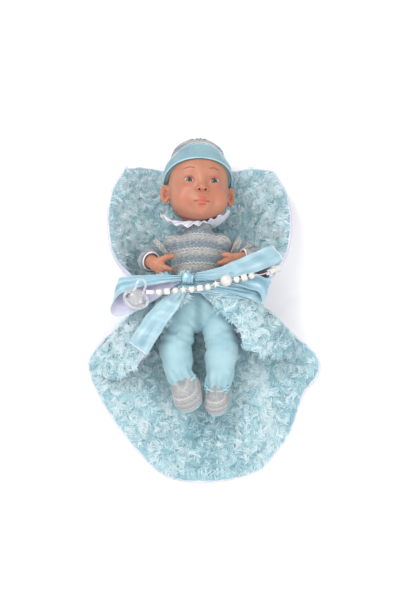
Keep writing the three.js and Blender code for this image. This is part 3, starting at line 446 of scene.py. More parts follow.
def knit_paint(name="knit", rows=23.0, pale=0.0, period=6.4, height=2.4, thick=1.15):
    """Marled knit: streaks of grey-blue and cream in bands, stitch texture and rows of pale zigzag, with painted
    shade along each side of the raised zigzag.
    """
    paint = Paint(name, Roughness=0.88, Sheen_Weight=0.35, Sheen_Roughness=0.5)
    split = paint.node("SeparateXYZ", paint.place("UV"))
    u, v = split, split.node.outputs[1]
    streak = paint.noise(1, 4, stretch=(0.2, 0.62, 1), kind="UV", rough=0.75)
    speck = paint.noise(1, 2, stretch=(0.9, 1.2, 1), kind="UV")
    band = paint.sum("SINE", paint.sum("MULTIPLY", v, 2 * math.pi / rows))
    tone = paint.sum("ADD", paint.sum("MULTIPLY", band, 0.08), streak)
    tone = paint.sum("MULTIPLY_ADD", paint.sum("SUBTRACT", speck, 0.5), 0.55, tone)
    marl = paint.ramp(
        tone,
        (0.3, (0.12, 0.145, 0.18)),
        (0.43, (0.19, 0.24, 0.29)),
        (0.5, (0.26, 0.33, 0.37)),
        (0.56, (0.4, 0.385, 0.355)),
        (0.68, (0.62, 0.56, 0.46)),
    )
    saw = paint.sum("PINGPONG", u, period / 2)
    line = paint.sum("MULTIPLY_ADD", saw, 2 * height / period, v)
    row = paint.sum("SUBTRACT", paint.sum("MODULO", paint.sum("ADD", line, 400 * rows), rows), rows / 2)
    zig = paint.step(paint.sum("ABSOLUTE", row), thick, 0.4 * thick)
    # painted shade: a darker blue band along each side of the raised zigzag
    zigzag_shade = paint.step(paint.sum("ABSOLUTE", paint.sum("SUBTRACT", paint.sum("ABSOLUTE", row), 1.9)), 0.8, 0.2)
    zigzag_shaded = paint.mix(paint.sum("MULTIPLY", zigzag_shade, 0.5), marl, (0.12, 0.17, 0.24))
    washed = paint.mix(pale, zigzag_shaded, (0.55, 0.52, 0.52))
    paint.colour(paint.mix(paint.sum("MULTIPLY", zig, 0.5), washed, (0.78, 0.78, 0.78)))
    stitch = paint.sum("PINGPONG", paint.sum("ADD", paint.sum("PINGPONG", u, 0.75), v), 0.7)
    return paint.bump(paint.sum("ADD", stitch, zig), 0.5, 0.9).material


def jersey_paint(name, dark, light):
    """Plain fine jersey with a soft vertical rib."""
    paint = Paint(name, Sheen_Weight=0.4, Sheen_Roughness=0.4)
    cloth = paint.mix(paint.step(paint.noise(28, 4), 0.35, 0.65), dark, light)
    paint.colour(paint.mix(paint.field("shaded"), cloth, (0.06, 0.17, 0.2)))
    rough_patches(paint, 0.75, 0.1)
    rib = paint.noise(1, 2, stretch=(1.6, 0.5, 1), kind="UV")
    return paint.bump(rib, 0.3, 0.6).material


def satin_paint(name, dark, light, painted_highlight, rough=0.3):
    """Woven satin: shiny, painted lighter on the crests of its folds and darker between them with painted
    highlight streaks on top, and with fine lengthwise threads that stretch the highlights.
    """
    paint = Paint(name, Sheen_Weight=0.3, Sheen_Roughness=0.3, Anisotropic=0.6, Specular_IOR_Level=0.8)
    # painted light and shade: the noise that raises the folds also paints them lighter on their crests, darker
    # between them, and with a painted highlight at the top
    folds = paint.noise(1, 2, stretch=(0.012, 0.11, 1), kind="UV")
    cloth = paint.mix(paint.step(folds, 0.3, 0.55), dark, light)
    paint.colour(paint.mix(paint.step(folds, 0.56, 0.68), cloth, painted_highlight))
    rough_patches(paint, rough, 0.12, 60)
    threads = paint.noise(1, 1, stretch=(0.3, 6, 1), kind="UV")
    return paint.bump(paint.sum("ADD", folds, threads), 0.3, 0.6).material


def plush_paint(name, colour, sheen=0.5):
    paint = Paint(name, Roughness=0.75, Sheen_Weight=sheen, Sheen_Roughness=0.45, Specular_IOR_Level=0.35)
    paint.colour(colour)
    return paint.bump(paint.noise(600, 1), 0.2, 0.3).material


def cloth_paint(name, dark, light, alpha=1.0, fine=1.6):
    """Plain woven cloth with a fine crossed thread."""
    paint = Paint(name, Roughness=0.8, Sheen_Weight=0.3, Alpha=alpha)
    paint.colour(paint.mix(paint.step(paint.noise(45, 4), 0.35, 0.65), dark, light))
    warp = paint.noise(1, 1, stretch=(fine, fine * 0.2, 1), kind="UV")
    weft = paint.noise(1, 1, stretch=(fine * 0.2, fine, 1), kind="UV")
    return paint.bump(paint.sum("ADD", warp, weft), 0.2, 0.5).material


def plastic_paint(name, dark, light, rough=0.32, coat=0.2, **more):
    paint = Paint(name, Coat_Weight=coat, Coat_Roughness=0.15, **more)
    paint.colour(paint.mix(paint.noise(120, 3), dark, light))
    rough_patches(paint, rough, 0.1)
    return paint.bump(paint.noise(500, 1), 0.05, 0.3).material


def clear_paint():
    """Clear moulded plastic, a little milky."""
    paint = Paint("clear_plastic", Transmission_Weight=0.72, IOR=1.42, Coat_Weight=0.4, Coat_Roughness=0.08)
    paint.shader.inputs["Base Color"].default_value = (0.93, 0.94, 0.95, 1)
    rough_patches(paint, 0.16, 0.08, 200)
    return paint.bump(paint.noise(260, 2), 0.15, 0.4).material


def eye_paint():
    """A glassy eye: dark pupil, grey-blue iris with radial fibres and a dark rim, and white."""
    paint = Paint("eye", Roughness=0.08, Coat_Weight=1.0, Coat_Roughness=0.02)
    angle, turn = paint.field("angle"), paint.field("turn")
    fibre = paint.node("CombineXYZ", paint.sum("MULTIPLY", turn, 9.0), paint.sum("MULTIPLY", angle, 2.5), 0.0)
    made = paint.tree.nodes.new("ShaderNodeTexNoise")
    paint.feed(made.inputs["Vector"], fibre)
    made.inputs["Scale"].default_value = 2.4
    iris = paint.ramp(
        made.outputs[0],
        (0.3, (0.01, 0.018, 0.03)),
        (0.5, (0.035, 0.06, 0.09)),
        (0.75, (0.2, 0.28, 0.34)),
    )
    rimmed = paint.mix(paint.step(angle, 0.44, 0.54), iris, (0.02, 0.03, 0.045))
    white = paint.mix(paint.step(angle, 0.54, 0.6), rimmed, (0.72, 0.7, 0.7))
    paint.colour(paint.mix(paint.step(angle, 0.29, 0.25), white, (0.003, 0.003, 0.004)))
    return paint.material


SKIN = skin_paint()
VINYL = vinyl_paint()
KNIT = knit_paint()
BOOTEE_KNIT = knit_paint("bootee_knit", rows=8.5, pale=0.45, period=3.6, height=1.5, thick=0.9)
JERSEY = jersey_paint("jersey", (0.29, 0.49, 0.55), (0.37, 0.565, 0.62))
TRIM = jersey_paint("jersey_trim", (0.3, 0.56, 0.64), (0.4, 0.67, 0.74))
BAND_JERSEY = jersey_paint("jersey_band", (0.19, 0.33, 0.39), (0.25, 0.41, 0.465))
SATIN = satin_paint("satin", (0.18, 0.37, 0.47), (0.31, 0.52, 0.62), (0.62, 0.78, 0.84), rough=0.24)
SATIN_INSIDE = satin_paint("satin_inside", (0.42, 0.43, 0.58), (0.54, 0.54, 0.68), (0.6, 0.6, 0.72),
                           rough=0.6)
SHEER = satin_paint("satin_sheer", (0.25, 0.44, 0.53), (0.37, 0.56, 0.64), (0.55, 0.72, 0.78))
BACKING = cloth_paint("plush_backing", (0.6, 0.61, 0.74), (0.7, 0.71, 0.82))
SATIN_EDGE = satin_paint("satin_edge", (0.36, 0.56, 0.64), (0.5, 0.68, 0.75), (0.6, 0.76, 0.82), rough=0.4)
ORGANZA = cloth_paint("organza", (0.66, 0.66, 0.78), (0.8, 0.8, 0.88), alpha=0.86, fine=1.1)
ORGANZA_EDGE = cloth_paint("organza_edge", (0.78, 0.78, 0.88), (0.88, 0.88, 0.94))
BEAD_WHITE = plastic_paint("bead", (0.64, 0.62, 0.58), (0.74, 0.72, 0.69), rough=0.3, coat=0.5)
WHITE = plastic_paint("white_plastic", (0.6, 0.6, 0.6), (0.7, 0.7, 0.7))
BLACK = plastic_paint("black_plastic", (0.02, 0.02, 0.022), (0.04, 0.04, 0.045), rough=0.45)
BOARD = plastic_paint("board", (0.01, 0.09, 0.035), (0.02, 0.15, 0.06), rough=0.3)
CORD_PAINT = cloth_paint("cord", (0.66, 0.42, 0.42), (0.78, 0.58, 0.56))
STEEL = plastic_paint("steel", (0.42, 0.43, 0.45), (0.55, 0.56, 0.58), rough=0.3, coat=0.0, Metallic=1.0)
CLEAR = clear_paint()
EYE_PAINT = eye_paint()
BROW = plastic_paint("brow", (0.34, 0.13, 0.065), (0.42, 0.18, 0.095), rough=0.6, coat=0.0)
# The pile's colour as lit and shaded copies, from painted deep shade to a painted glint; pile() gives each
# strand one of them.
PILE = [
    plush_paint("pile_deep_shade", (0.17, 0.36, 0.41)),
    plush_paint("pile_shade", (0.27, 0.5, 0.57)),
    plush_paint("pile_mid", (0.37, 0.6, 0.67)),
    plush_paint("pile_light", (0.48, 0.71, 0.77)),
    plush_paint("pile_lit", (0.68, 0.83, 0.87)),
    plush_paint("pile_glint", (0.88, 0.94, 0.95), 0.8),
]
PLUSH_BASE = plush_paint("plush_base", (0.33, 0.56, 0.61), 0.2)

SLOT_PAINT = {
    "skin": SKIN, "body_vinyl": VINYL, "eye": EYE_PAINT, "knit": KNIT, "jersey": JERSEY, "plush": PLUSH_BASE,
    "satin": SATIN, "organza": ORGANZA, "clear_plastic": CLEAR, "bead": BEAD_WHITE, "cord": CORD_PAINT,
    "white_plastic": WHITE, "black_plastic": BLACK, "board": BOARD, "steel": STEEL,
}
for part in frame["record"]["subparts"]:
    if part["material_slot"] in SLOT_PAINT:
        materials = frame["nodes"][part["node"]].data.materials
        materials.clear()
        materials.append(SLOT_PAINT[part["material_slot"]])


# ---- camera, light and floor ----

def camera():
    target = Vector((-0.00675, 0.008, 0.05))
    elevation, away = math.radians(75), 1.5
    back = Vector((0, -math.cos(elevation), math.sin(elevation)))
    data = bpy.data.cameras.new("camera")
    data.lens, data.sensor_width = 60, 36
    made = bpy.data.objects.new("camera", data)
    made.location = target + back * away
    made.rotation_euler = (-back).to_track_quat("-Z", "Y").to_euler()
    bpy.context.scene.collection.objects.link(made)
    bpy.context.scene.camera = made


def lamp(name, place, size, energy):
    data = bpy.data.lights.new(name, "AREA")
    data.shape, data.size, data.energy = "SQUARE", size, energy
    made = bpy.data.objects.new(name, data)
    made.location = place
    made.rotation_euler = (Vector((0, 0, 0.05)) - Vector(place)).to_track_quat("-Z", "Y").to_euler()
    bpy.context.scene.collection.objects.link(made)


def studio():
    lamp("key", (-0.75, 0.75, 1.3), 0.7, 11)
    lamp("fill", (0.9, -0.5, 1.1), 0.8, 6)
    lamp("front", (-0.2, -1.1, 0.9), 0.6, 4)
    lamp("sparkle", (-0.4, 0.3, 1.6), 0.14, 1.6)
    world = bpy.data.worlds.new("studio")
    bpy.context.scene.world = world
    world.use_nodes = True
    world.node_tree.nodes["Background"].inputs[0].default_value = (1, 1, 1, 1)
    world.node_tree.nodes["Background"].inputs[1].default_value = 0.75
    scene = bpy.context.scene
    scene.view_settings.view_transform = "Standard"
    half = 3000
    corners = [(-half, -half, -0.5), (half, -half, -0.5), (half, half, -0.5), (-half, half, -0.5)]
    paint = Paint("floor", Roughness=0.9)
    paint.colour((0.93, 0.93, 0.93))
    piece("floor", corners, [[0, 1, 2, 3]], paint.material)


camera()
studio()


# ---- bead chain: cord and beads ----

CHAIN = np.array([
    (-0.0735, 0.0026, 0.1118), (-0.066, 0.0034, 0.1113), (-0.0543, 0.0045, 0.1111), (-0.0424, 0.0056, 0.1109),
    (-0.0306, 0.0067, 0.1108), (-0.0188, 0.0078, 0.1108), (-0.007, 0.0092, 0.1109), (0.0047, 0.011, 0.1112),
    (0.0165, 0.015, 0.1122), (0.031, 0.02, 0.114), (0.046, 0.0226, 0.1114), (0.0572, 0.0252, 0.1092),
    (0.068, 0.029, 0.1074), (0.076, 0.0306, 0.1062), (0.084, 0.032, 0.105), (0.091, 0.0345, 0.1044),
])


def heart(a):
    """The outline of a heart as a radius at each turn, for a radius of about 1."""
    turned = a - math.pi / 2
    turned = (turned + math.pi) % (2 * math.pi) - math.pi
    dent = 0.45 * bell(turned, 0, 0.4)
    point = 0.1 * bell(np.abs(turned), math.pi, 0.4)
    return 1.04 - dent - 0.12 * np.abs(np.sin(turned)) + point


def pillow(outline, depth, soft):
    """A flat-faced solid of an outline of an even number of points, with soft edges."""
    centre = outline.mean(0)
    rings = []
    for way in (-1, 1):
        turns = np.linspace(0, math.pi / 2, 5)
        for a in turns if way < 0 else turns[::-1]:
            inset = 1 - soft * (1 - math.sin(a)) / np.abs(outline - centre).max()
            height = way * (depth / 2 - soft + soft * math.cos(a))
            ring = centre + (outline - centre) * inset
            rings.append(np.column_stack([ring, np.full(len(outline), height)]))
    return capped(np.array(rings))


def bead(shape):
    a = once_round(32)
    radius = BEAD / 2
    if shape == "heart":
        r = heart(a) * radius
    elif shape == "star":
        r = (0.8 + 0.22 * np.cos(5 * (a - math.pi / 2))) * radius * 1.06
    elif shape == "square":
        r = radius * 0.92 / (np.abs(np.cos(a)) ** 7 + np.abs(np.sin(a)) ** 7) ** (1 / 7)
    else:
        size = LARGE_BEAD / 2 if shape == "large" else radius
        t = np.linspace(0.04, math.pi - 0.04, 19)
        ball_rings = [[(size * math.sin(x) * c, size * math.sin(x) * s, -size * math.cos(x))
                       for c, s in zip(np.cos(a), np.sin(a))] for x in t]
        return capped(np.array(ball_rings))
    outline = np.stack([r * np.cos(a), r * np.sin(a)], 1)
    return pillow(outline, 6.2 if shape != "square" else BEAD * 0.88, 1.3)


def chain():
    line = spline(CHAIN, 8)
    data = bpy.data.curves.new("bead_cord", "CURVE")
    data.dimensions = "3D"
    way = data.splines.new("POLY")
    way.points.add(len(line) - 1)
    for point, place in zip(way.points, line):
        point.co = (*place, 1)
    data.bevel_depth = CORD / 2 * MM
    data.bevel_resolution = 3
    data.use_fill_caps = True
    data.materials.append(CORD_PAINT)
    cord = bpy.data.objects.new("bead_cord", data)
    bpy.context.scene.collection.objects.link(cord)
    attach(cord, "torso")
    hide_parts("chain_cord")

    order = ["heart", "square", "round", "star"] * 2 + ["large", "heart", "square", "round"]
    seen, on_cord = {}, [frame["nodes"]["chain_bar"]]
    for i, shape in enumerate(order, start=1):
        seen[shape] = seen.get(shape, 0) + 1
        node = "bead_large" if shape == "large" else f"bead_{shape}_{seen[shape]}"
        points, faces = bead(shape)
        along = CHAIN[i + 1] - CHAIN[i - 1]
        lean = Matrix.Rotation(RNG.uniform(-0.25, 0.25), 3, "X")
        turn = np.array(Matrix.Rotation(math.atan2(along[1], along[0]), 3, "Z") @ lean)
        points = points @ turn.T + CHAIN[i] / MM
        on_cord.append(piece(node + "_moulded", points, faces, BEAD_WHITE, "torso", "bead", [node]))
    length = float(np.linalg.norm(np.diff(line, axis=0), axis=1).sum())


chain()


# ---- wrap: plush cloth with its smooth backing, hem and rosette pile ----

UNDER = [
    [(-124, 218, 50), (-100, 227, 32), (-72, 229, 15), (-42, 226, 7), (-10, 224, 4),
     (22, 226, 7), (52, 228, 15), (84, 225, 32), (108, 214, 50)],
    [(-143, 176, 54), (-118, 180, 30), (-84, 180, 11), (-48, 178, 4), (-10, 178, 4),
     (28, 178, 4), (64, 180, 11), (100, 178, 30), (127, 172, 54)],
    [(-146, 116, 56), (-122, 118, 29), (-92, 118, 8), (-50, 118, 4), (-10, 118, 4),
     (30, 118, 4), (72, 118, 8), (107, 116, 29), (131, 112, 56)],
    [(-134, 71, 56), (-116, 74, 29), (-92, 77, 8), (-50, 77, 4), (-10, 77, 4),
     (30, 77, 4), (74, 77, 8), (101, 73, 29), (120, 71, 56)],
    [(-108, 40, 58), (-102, 41, 32), (-84, 41, 9), (-45, 41, 5), (-8, 41, 5),
     (30, 41, 5), (70, 41, 9), (90, 41, 32), (98, 40, 58)],
    [(-82, 16, 56), (-80, 16, 34), (-64, 16, 12), (-38, 16, 7.5), (-6, 16, 7.5),
     (26, 16, 7.5), (53, 16, 12), (69, 16, 34), (72, 16, 56)],
    [(-98, -7, 48), (-94, -7, 28), (-76, -6, 9), (-44, -6, 5), (-8, -6, 5),
     (30, -6, 5), (64, -6, 9), (84, -7, 28), (90, -7, 48)],
    [(-134, -34, 32), (-118, -34, 16), (-86, -36, 6), (-48, -36, 4), (-8, -36, 4),
     (34, -36, 4), (76, -36, 6), (108, -34, 16), (126, -34, 32)],
    [(-173, -78, 9), (-142, -80, 12), (-100, -84, 12), (-52, -86, 5), (-6, -86, 4),
     (42, -86, 5), (94, -84, 12), (140, -82, 12), (173, -80, 9)],
    [(-157, -128, 5), (-124, -132, 10), (-86, -136, 19), (-46, -138, 6), (-4, -138, 4),
     (40, -138, 6), (84, -136, 19), (118, -132, 10), (146, -128, 5)],
    [(-120, -184, 4), (-98, -186, 9), (-70, -190, 17), (-40, -192, 8), (-4, -194, 4),
     (34, -192, 8), (70, -190, 17), (102, -186, 9), (126, -180, 4)],
    [(-86, -224, 4), (-72, -226, 6), (-52, -230, 10), (-28, -233, 7), (-2, -235, 4),
     (28, -234, 7), (56, -230, 10), (82, -226, 6), (99, -220, 4)],
    [(-66, -242, 4), (-54, -248, 4), (-40, -252, 4), (-22, -255, 4), (0, -256, 4),
     (26, -254, 4), (46, -250, 4), (68, -244, 4), (86, -236, 4)],
]
FLAP = {
    "right": [
        [(-79, 33.4, 66), (-70, 33.4, 80), (-56, 33.4, 87), (-38, 33.4, 90), (-22, 33.4, 91)],
        [(-77, 16, 66), (-69, 16, 79), (-55, 16, 87), (-38, 16, 90), (-20, 16, 90.5)],
        [(-90, -3, 58), (-80, -3, 74), (-64, -2, 84), (-46, -1, 88), (-28, 0, 89)],
        [(-120, -28, 44), (-107, -26, 62), (-88, -25, 76), (-68, -24, 84), (-48, -24, 86)],
        [(-150, -60, 26), (-134, -62, 42), (-114, -62, 56), (-94, -62, 67), (-74, -60, 75)],
        [(-166, -80, 21), (-156, -96, 26), (-140, -106, 33), (-122, -104, 43), (-101, -93, 54)],
    ],
    "left": [
        [(69, 33.4, 66), (60, 33.4, 80), (44, 33.4, 87), (22, 33.4, 90), (-12, 33.4, 91)],
        [(67, 16, 66), (59, 16, 79), (42, 16, 87), (18, 16, 90), (-11, 16, 90.5)],
        [(82, -5, 58), (72, -4, 74), (54, -3, 84), (32, -2, 88), (6, -1, 89)],
        [(108, -24, 46), (95, -24, 62), (76, -23, 76), (54, -22, 84), (28, -22, 87)],
        [(128, -46, 36), (115, -47, 52), (97, -47, 67), (76, -46, 78), (50, -44, 84)],
        [(146, -66, 26), (132, -72, 39), (112, -76, 52), (88, -77, 64), (58, -73, 76)],
    ],
}
ROSE = 25.0  # spacing of the plush's rosettes
PILE_LENGTH = 11
NET_STEPS = (10, 8)  # steps across and along to each span of a net
CLOTH_THICK = 3.2
BLOCK = 20000  # points looked up at a time


def rosettes(low, high):
    """Centres of the rosettes on a loose honeycomb, with the turn and the phase of each."""
    xs = np.arange(low[0], high[0], ROSE)
    ys = np.arange(low[1], high[1], ROSE * 0.87)
    centres = np.array([(x + (ROSE / 2 if j % 2 else 0), y) for j, y in enumerate(ys) for x in xs])
    centres += RNG.uniform(-0.2, 0.2, centres.shape) * ROSE
    return centres, np.where(RNG.random(len(centres)) < 0.5, -1, 1), RNG.uniform(0, 2 * np.pi, len(centres))


ROSES = rosettes((-190, -270), (190, 240))


def rose_at(flat):
    """For points on the flat cloth: offset from the nearest rosette, its turn, its whorl and its edge."""
    centres, turns, phases = ROSES
    nearest = np.empty(len(flat), int)
    for start in range(0, len(flat), BLOCK):
        block = flat[start:start + BLOCK]
        nearest[start:start + BLOCK] = ((block[:, None] - centres[None]) ** 2).sum(-1).argmin(1)
    away = flat - centres[nearest]
    far = np.linalg.norm(away, axis=1)
    angle = np.arctan2(away[:, 1], away[:, 0])
    whorl = 0.5 + 0.5 * np.cos(2 * np.pi * far / 9.5 - turns[nearest] * angle + phases[nearest])
    edge = smoothstep(ROSE * 0.56, ROSE * 0.4, far)
    return away, turns[nearest], whorl * edge, edge


def waves(flat, seed):
    """Smooth uneven hills from a few crossing waves, from -1 to 1."""
    rng = np.random.default_rng(seed)
    total = np.zeros(len(flat))
    for size in (70, 47, 31, 23):
        a = rng.uniform(0, 2 * np.pi, 2)
        for turn in a:
            along = flat @ [math.cos(turn), math.sin(turn)]
            total += np.sin(along * 2 * np.pi / size + rng.uniform(0, 6)) * 0.25
    return np.clip(total, -1, 1)


def plush_sheet(name, net, nodes, seed):
    """The base cloth of the plush over a net, with its grid of upper points and their normals."""
    grid = net_grid(net, *NET_STEPS)
    normal = grid_normals(grid)
    if normal[..., 2].mean() < 0:
        grid = grid[:, ::-1]
        normal = grid_normals(grid)
    rows, cols = grid.shape[:2]
    flat = grid[..., :2].reshape(-1, 2)
    whorl = rose_at(flat)[2].reshape(rows, cols)
    hills = waves(flat, seed).reshape(rows, cols)
    i = np.minimum(np.arange(rows), np.arange(rows)[::-1])
    k = np.minimum(np.arange(cols), np.arange(cols)[::-1])
    rim = smoothstep(0, 5, np.minimum(i[:, None], k[None, :]))
    above = 1.2 + rim * (1.2 + 1.6 * whorl + 1.6 * hills)
    low = grid[..., 2] - normal[..., 2] * CLOTH_THICK
    below = CLOTH_THICK + np.minimum(low, 0) / np.maximum(normal[..., 2], 0.3)
    points, faces = sheet_of(grid, above, below)
    shown = np.arange(len(faces)) < (rows - 1) * (cols - 1)
    made = piece(name, points, faces, [PLUSH_BASE, BACKING], slot="plush", stands_for=nodes,
                 which=np.where(shown, 0, 1), uv=np.concatenate([flat, flat]))
    top = grid + normal * above[..., None]
    return made, top, normal


def hem(name, line, radius=1.7):
    """The smooth rolled edge of the backing, along a line."""
    wave = 1 + 0.15 * np.sin(np.arange(len(line)) * 0.9)
    return tube_piece(name, line, radius * wave, BACKING, sides=8, slot="plush")


def pile(top, normal, many, seed, keep, tucked=2.6):
    """Pile strands over a grid: points, quads and the shade of each. keep(points) says where they grow."""
    rng = np.random.default_rng(seed)
    a, b = top[:-1, :-1], top[1:, :-1]
    area = np.linalg.norm(np.cross(b - a, top[:-1, 1:] - a), axis=-1).ravel()
    tufts = int(area.sum() * many)
    cell = rng.choice(len(area), tufts, p=area / area.sum())
    i, k = np.divmod(cell, top.shape[1] - 1)
    s, t = rng.random((2, tufts, 1))

    def blend(values):
        return ((1 - s) * (1 - t) * values[i, k] + s * (1 - t) * values[i + 1, k]
                + (1 - s) * t * values[i, k + 1] + s * t * values[i + 1, k + 1])

    root, up = blend(top), unit(blend(normal))
    grows = keep(root)
    root, up = root[grows], up[grows]
    rim = np.concatenate([top[0], top[-1], top[:, 0], top[:, -1]])
    inward, gap = np.empty_like(root), np.empty(len(root))
    block = BLOCK // 5
    for start in range(0, len(root), block):
        step = root[start:start + block, None] - rim[None]
        near = (step**2).sum(-1)
        closest = near.argmin(1)
        inward[start:start + block] = step[np.arange(len(step)), closest]
        gap[start:start + block] = np.sqrt(near.min(1))
    inward = unit(inward) * smoothstep(15, 4, gap)[:, None]
    away, turn, whorl, edge = rose_at(root[:, :2])
    far = np.linalg.norm(away, axis=1, keepdims=True)
    out = np.column_stack([away / np.maximum(far, 1e-6), np.zeros(len(away))])
    round_way = np.column_stack([-out[:, 1], out[:, 0], np.zeros(len(out))]) * turn[:, None]
    sweep = round_way * 0.9 + out * rng.normal(-0.2, 0.28, (len(out), 1)) + rng.normal(0, 0.16, out.shape)
    sweep = sweep + tucked * inward
    sweep = unit(sweep - up * (sweep * up).sum(1, keepdims=True))
    tip_up = 1.5 + 2.6 * whorl[:, None] + rng.uniform(0, 1.2, (len(out), 1))
    length = PILE_LENGTH * rng.uniform(0.6, 1.1, (len(out), 1))
    # Painted light and shade of the pile: lighter on the rosettes' raised whorls and a little darker at their
    # borders, a painted shadow in the hollow at the skirt's foot and round the doll's body, lighter out on the
    # wings, and a painted highlight along the skirt's right fold with painted shade beyond it; the random and
    # wave terms vary the tone.
    hollow_shade = np.exp(-(((root[:, 0] - 4) / 42) ** 2) - ((root[:, 1] + 195) / 60) ** 2)
    wing_light = smoothstep(60, 105, np.abs(root[:, 0] - BODY_X))
    shade = 0.3 * whorl + 0.08 * edge + 0.1 * rng.random(len(out)) + 0.16 * waves(root[:, :2], 5)
    ridge = root[:, 0] - 78 + 0.13 * (root[:, 1] + 60)
    skirt = smoothstep(-20, -60, root[:, 1])
    fold = 0.13 * bell(ridge, 0, 11) - 0.15 * smoothstep(10, 22, ridge)
    nest_shade = np.exp(-(((root[:, 0] - BODY_X) / 72) ** 4) - ((root[:, 1] - 105) / 70) ** 4)
    shade += 0.5 - 0.3 * hollow_shade - 0.12 * nest_shade + 0.06 * wing_light + fold * skirt

    per = 5  # strands in a tuft
    n = len(root) * per
    whorl_tip = np.repeat(whorl, per)
    of_tufts = (root, up, sweep, tip_up, length, shade)
    root, up, sweep, tip_up, length, shade = (np.repeat(x, per, 0) for x in of_tufts)
    side = np.cross(up, sweep)
    spread = rng.normal(0, 2.0, (n, 2))
    start = root + side * spread[:, :1] + sweep * spread[:, 1:]
    curl = rng.normal(0, 1.5, (n, 1))
    width = rng.uniform(0.3, 0.52, (n, 1))
    rows = []
    for at in (0.0, 0.35, 0.72, 1.0):
        rise = tip_up * math.sin(at * 2.2)
        gather = 1 - 0.3 * at
        middle = (root + (start - root) * gather + sweep * length * at * (1 - 0.12 * at)
                  + side * curl * at * at + up * rise)
        half = width * (1 - 0.75 * at**2)
        rows += [middle - side * half, middle + side * half]
    points = np.stack(rows, 1).reshape(-1, 3)
    points[:, 2] = np.maximum(points[:, 2], 0.4)
    base = np.arange(n)[:, None] * 8
    faces = np.stack([base + q for q in ([0, 1, 3, 2], [2, 3, 5, 4], [4, 5, 7, 6])], 1).reshape(-1, 4)
    # Each strand takes the copy that its painted light and shade calls for; a few, more of them on the whorls,
    # take the painted glint.
    level = np.clip((shade + rng.normal(0, 0.06, n)) * 5, 0, 4.4).astype(int)
    level[rng.random(n) < 0.03 + 0.05 * (whorl_tip > 0.75)] = 5
    return points, faces, np.repeat(level, 3)


def under_keep(p):
    """The pile under the doll's back and head, and where the ribbon presses, isn't seen and is left out."""
    x, y = p[:, 0] - BODY_X, p[:, 1]
    back = ((x / 36) ** 2 + ((y - 70) / 62) ** 2 < 1) & (p[:, 2] < 20)
    head = ((x / 34) ** 2 + ((y - 175) / 42) ** 2 < 1) & (p[:, 2] < 20)
    tied = np.abs(y - BAND["y"]) < BAND["width"] / 2 + 1
    return ~(back | head | tied)


def wrap():
    cloth, top, normal = plush_sheet("wrap_cloth", UNDER, ["blanket", "blanket_skirt"], 3)
    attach(cloth, "torso")
    edges = {
        "wrap_hem_right": (top[:, 0], top[:, 1]), "wrap_hem_left": (top[:, -1], top[:, -2]),
        "wrap_hem_top": (top[0], top[1]), "wrap_hem_foot": (top[-1], top[-2]),
    }
    for name, (line, inner) in edges.items():
        placed = line + unit(line - inner) * 0.6 - np.array([0, 0, 1]) * 1.4
        placed[:, 2] = np.maximum(placed[:, 2], 1.9)
        made = hem(name, placed)
        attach(made, "torso")
    points, faces, shade = pile(top, normal, 0.105, 11, under_keep)
    middle = points[faces].mean(1)
    upper, right = middle[:, 1] >= BAND["y"], middle[:, 0] < BODY_X
    parts = {
        "wrap_pile_wing_right": upper & right,
        "wrap_pile_wing_left": upper & ~right,
        "wrap_pile_skirt_right": ~upper & right,
        "wrap_pile_skirt_left": ~upper & ~right,
    }
    for name, chosen in parts.items():
        whole = np.repeat(chosen[::3], 3)
        made = piece(name, *part_of(points, faces, whole), PILE, "torso", "plush", which=shade[whole])
    # The area of the modelled sheet itself is worked out, as no cut size is known; nothing uses it.
    sheet_area(top)


def sheet_area(top):
    a, b, c, d = top[:-1, :-1], top[1:, :-1], top[1:, 1:], top[:-1, 1:]
    halves = np.linalg.norm(np.cross(b - a, c - a), axis=-1) + np.linalg.norm(np.cross(c - a, d - a), axis=-1)
    return float(halves.sum() / 2) * MM * MM


def flaps():
    for name, net in FLAP.items():
        cloth, top, normal = plush_sheet(f"flap_{name}_cloth", net, [f"blanket_flap_{name}"], 4)
        edge = min(top[:, 0], top[:, -1], key=lambda line: np.abs(line[:, 0] - BODY_X).mean())
        points, faces, shade = pile(top, normal, 0.12, 21, lambda p: p[:, 1] < 33, -0.4)
        fur = piece(f"flap_{name}_pile", points, faces, PILE, slot="plush", which=shade)
        rim = hem(f"flap_{name}_hem", edge - np.array([0, 0, CLOTH_THICK]), 1.1)
        for made in (cloth, fur, rim):
            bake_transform(made)


wrap()
flaps()


# ---- head: soft vinyl face, ears and glass eyes ----

TURNED = np.array(Matrix.Rotation(math.radians(HEAD["yaw"]), 3, "Y"))
EYE_AT = (EYE["x"], EYE["y"], EYE["z"])
MOUTH = [(0, -35.1, 51.6), (5.6, -35.5, 49.9), (10.8, -34.6, 46.2)]
UPPER_LIP = [(0, -32.6, 49.0), (2.8, -31.7, 48.7), (6.2, -33.2, 47.2), (9.6, -34.7, 45.4)]
LOWER_LIP = [(0, -37.6, 47.5), (3.2, -37.4, 47.1), (6.6, -36.3, 45.7)]
EAR = {"at": (49, -8, 0), "out": (0.714, 0, -0.7), "face": (0.7, 0, 0.714)}


def from_head(points):
    """Points of the head's own axes (crown +Y, face +Z) put in the frame."""
    return np.asarray(points) @ TURNED.T + HEAD["centre"]


def mirrored(p):
    m = np.array(p, copy=True)
    m[..., 0] = np.abs(m[..., 0])
    return m


def lens_shape(p):
    """Distance from the almond of the eye's opening, seen from the front."""
    u = p[..., 0] - EYE["x"]
    v = p[..., 1] - EYE["y"] - 0.1 * u
    width, top, foot = EYE["half_width"], EYE["top"], EYE["foot"]
    big = (width**2 + top**2) / (2 * top)
    low = (width**2 + foot**2) / (2 * foot)
    return np.maximum(np.hypot(u, v + big - top) - big, np.hypot(u, v - low + foot) - low)


def in_ear(m):
    away = m - np.float32(EAR["at"])
    return np.stack([away @ np.float32(EAR["out"]), away[..., 1], away @ np.float32(EAR["face"])], -1)


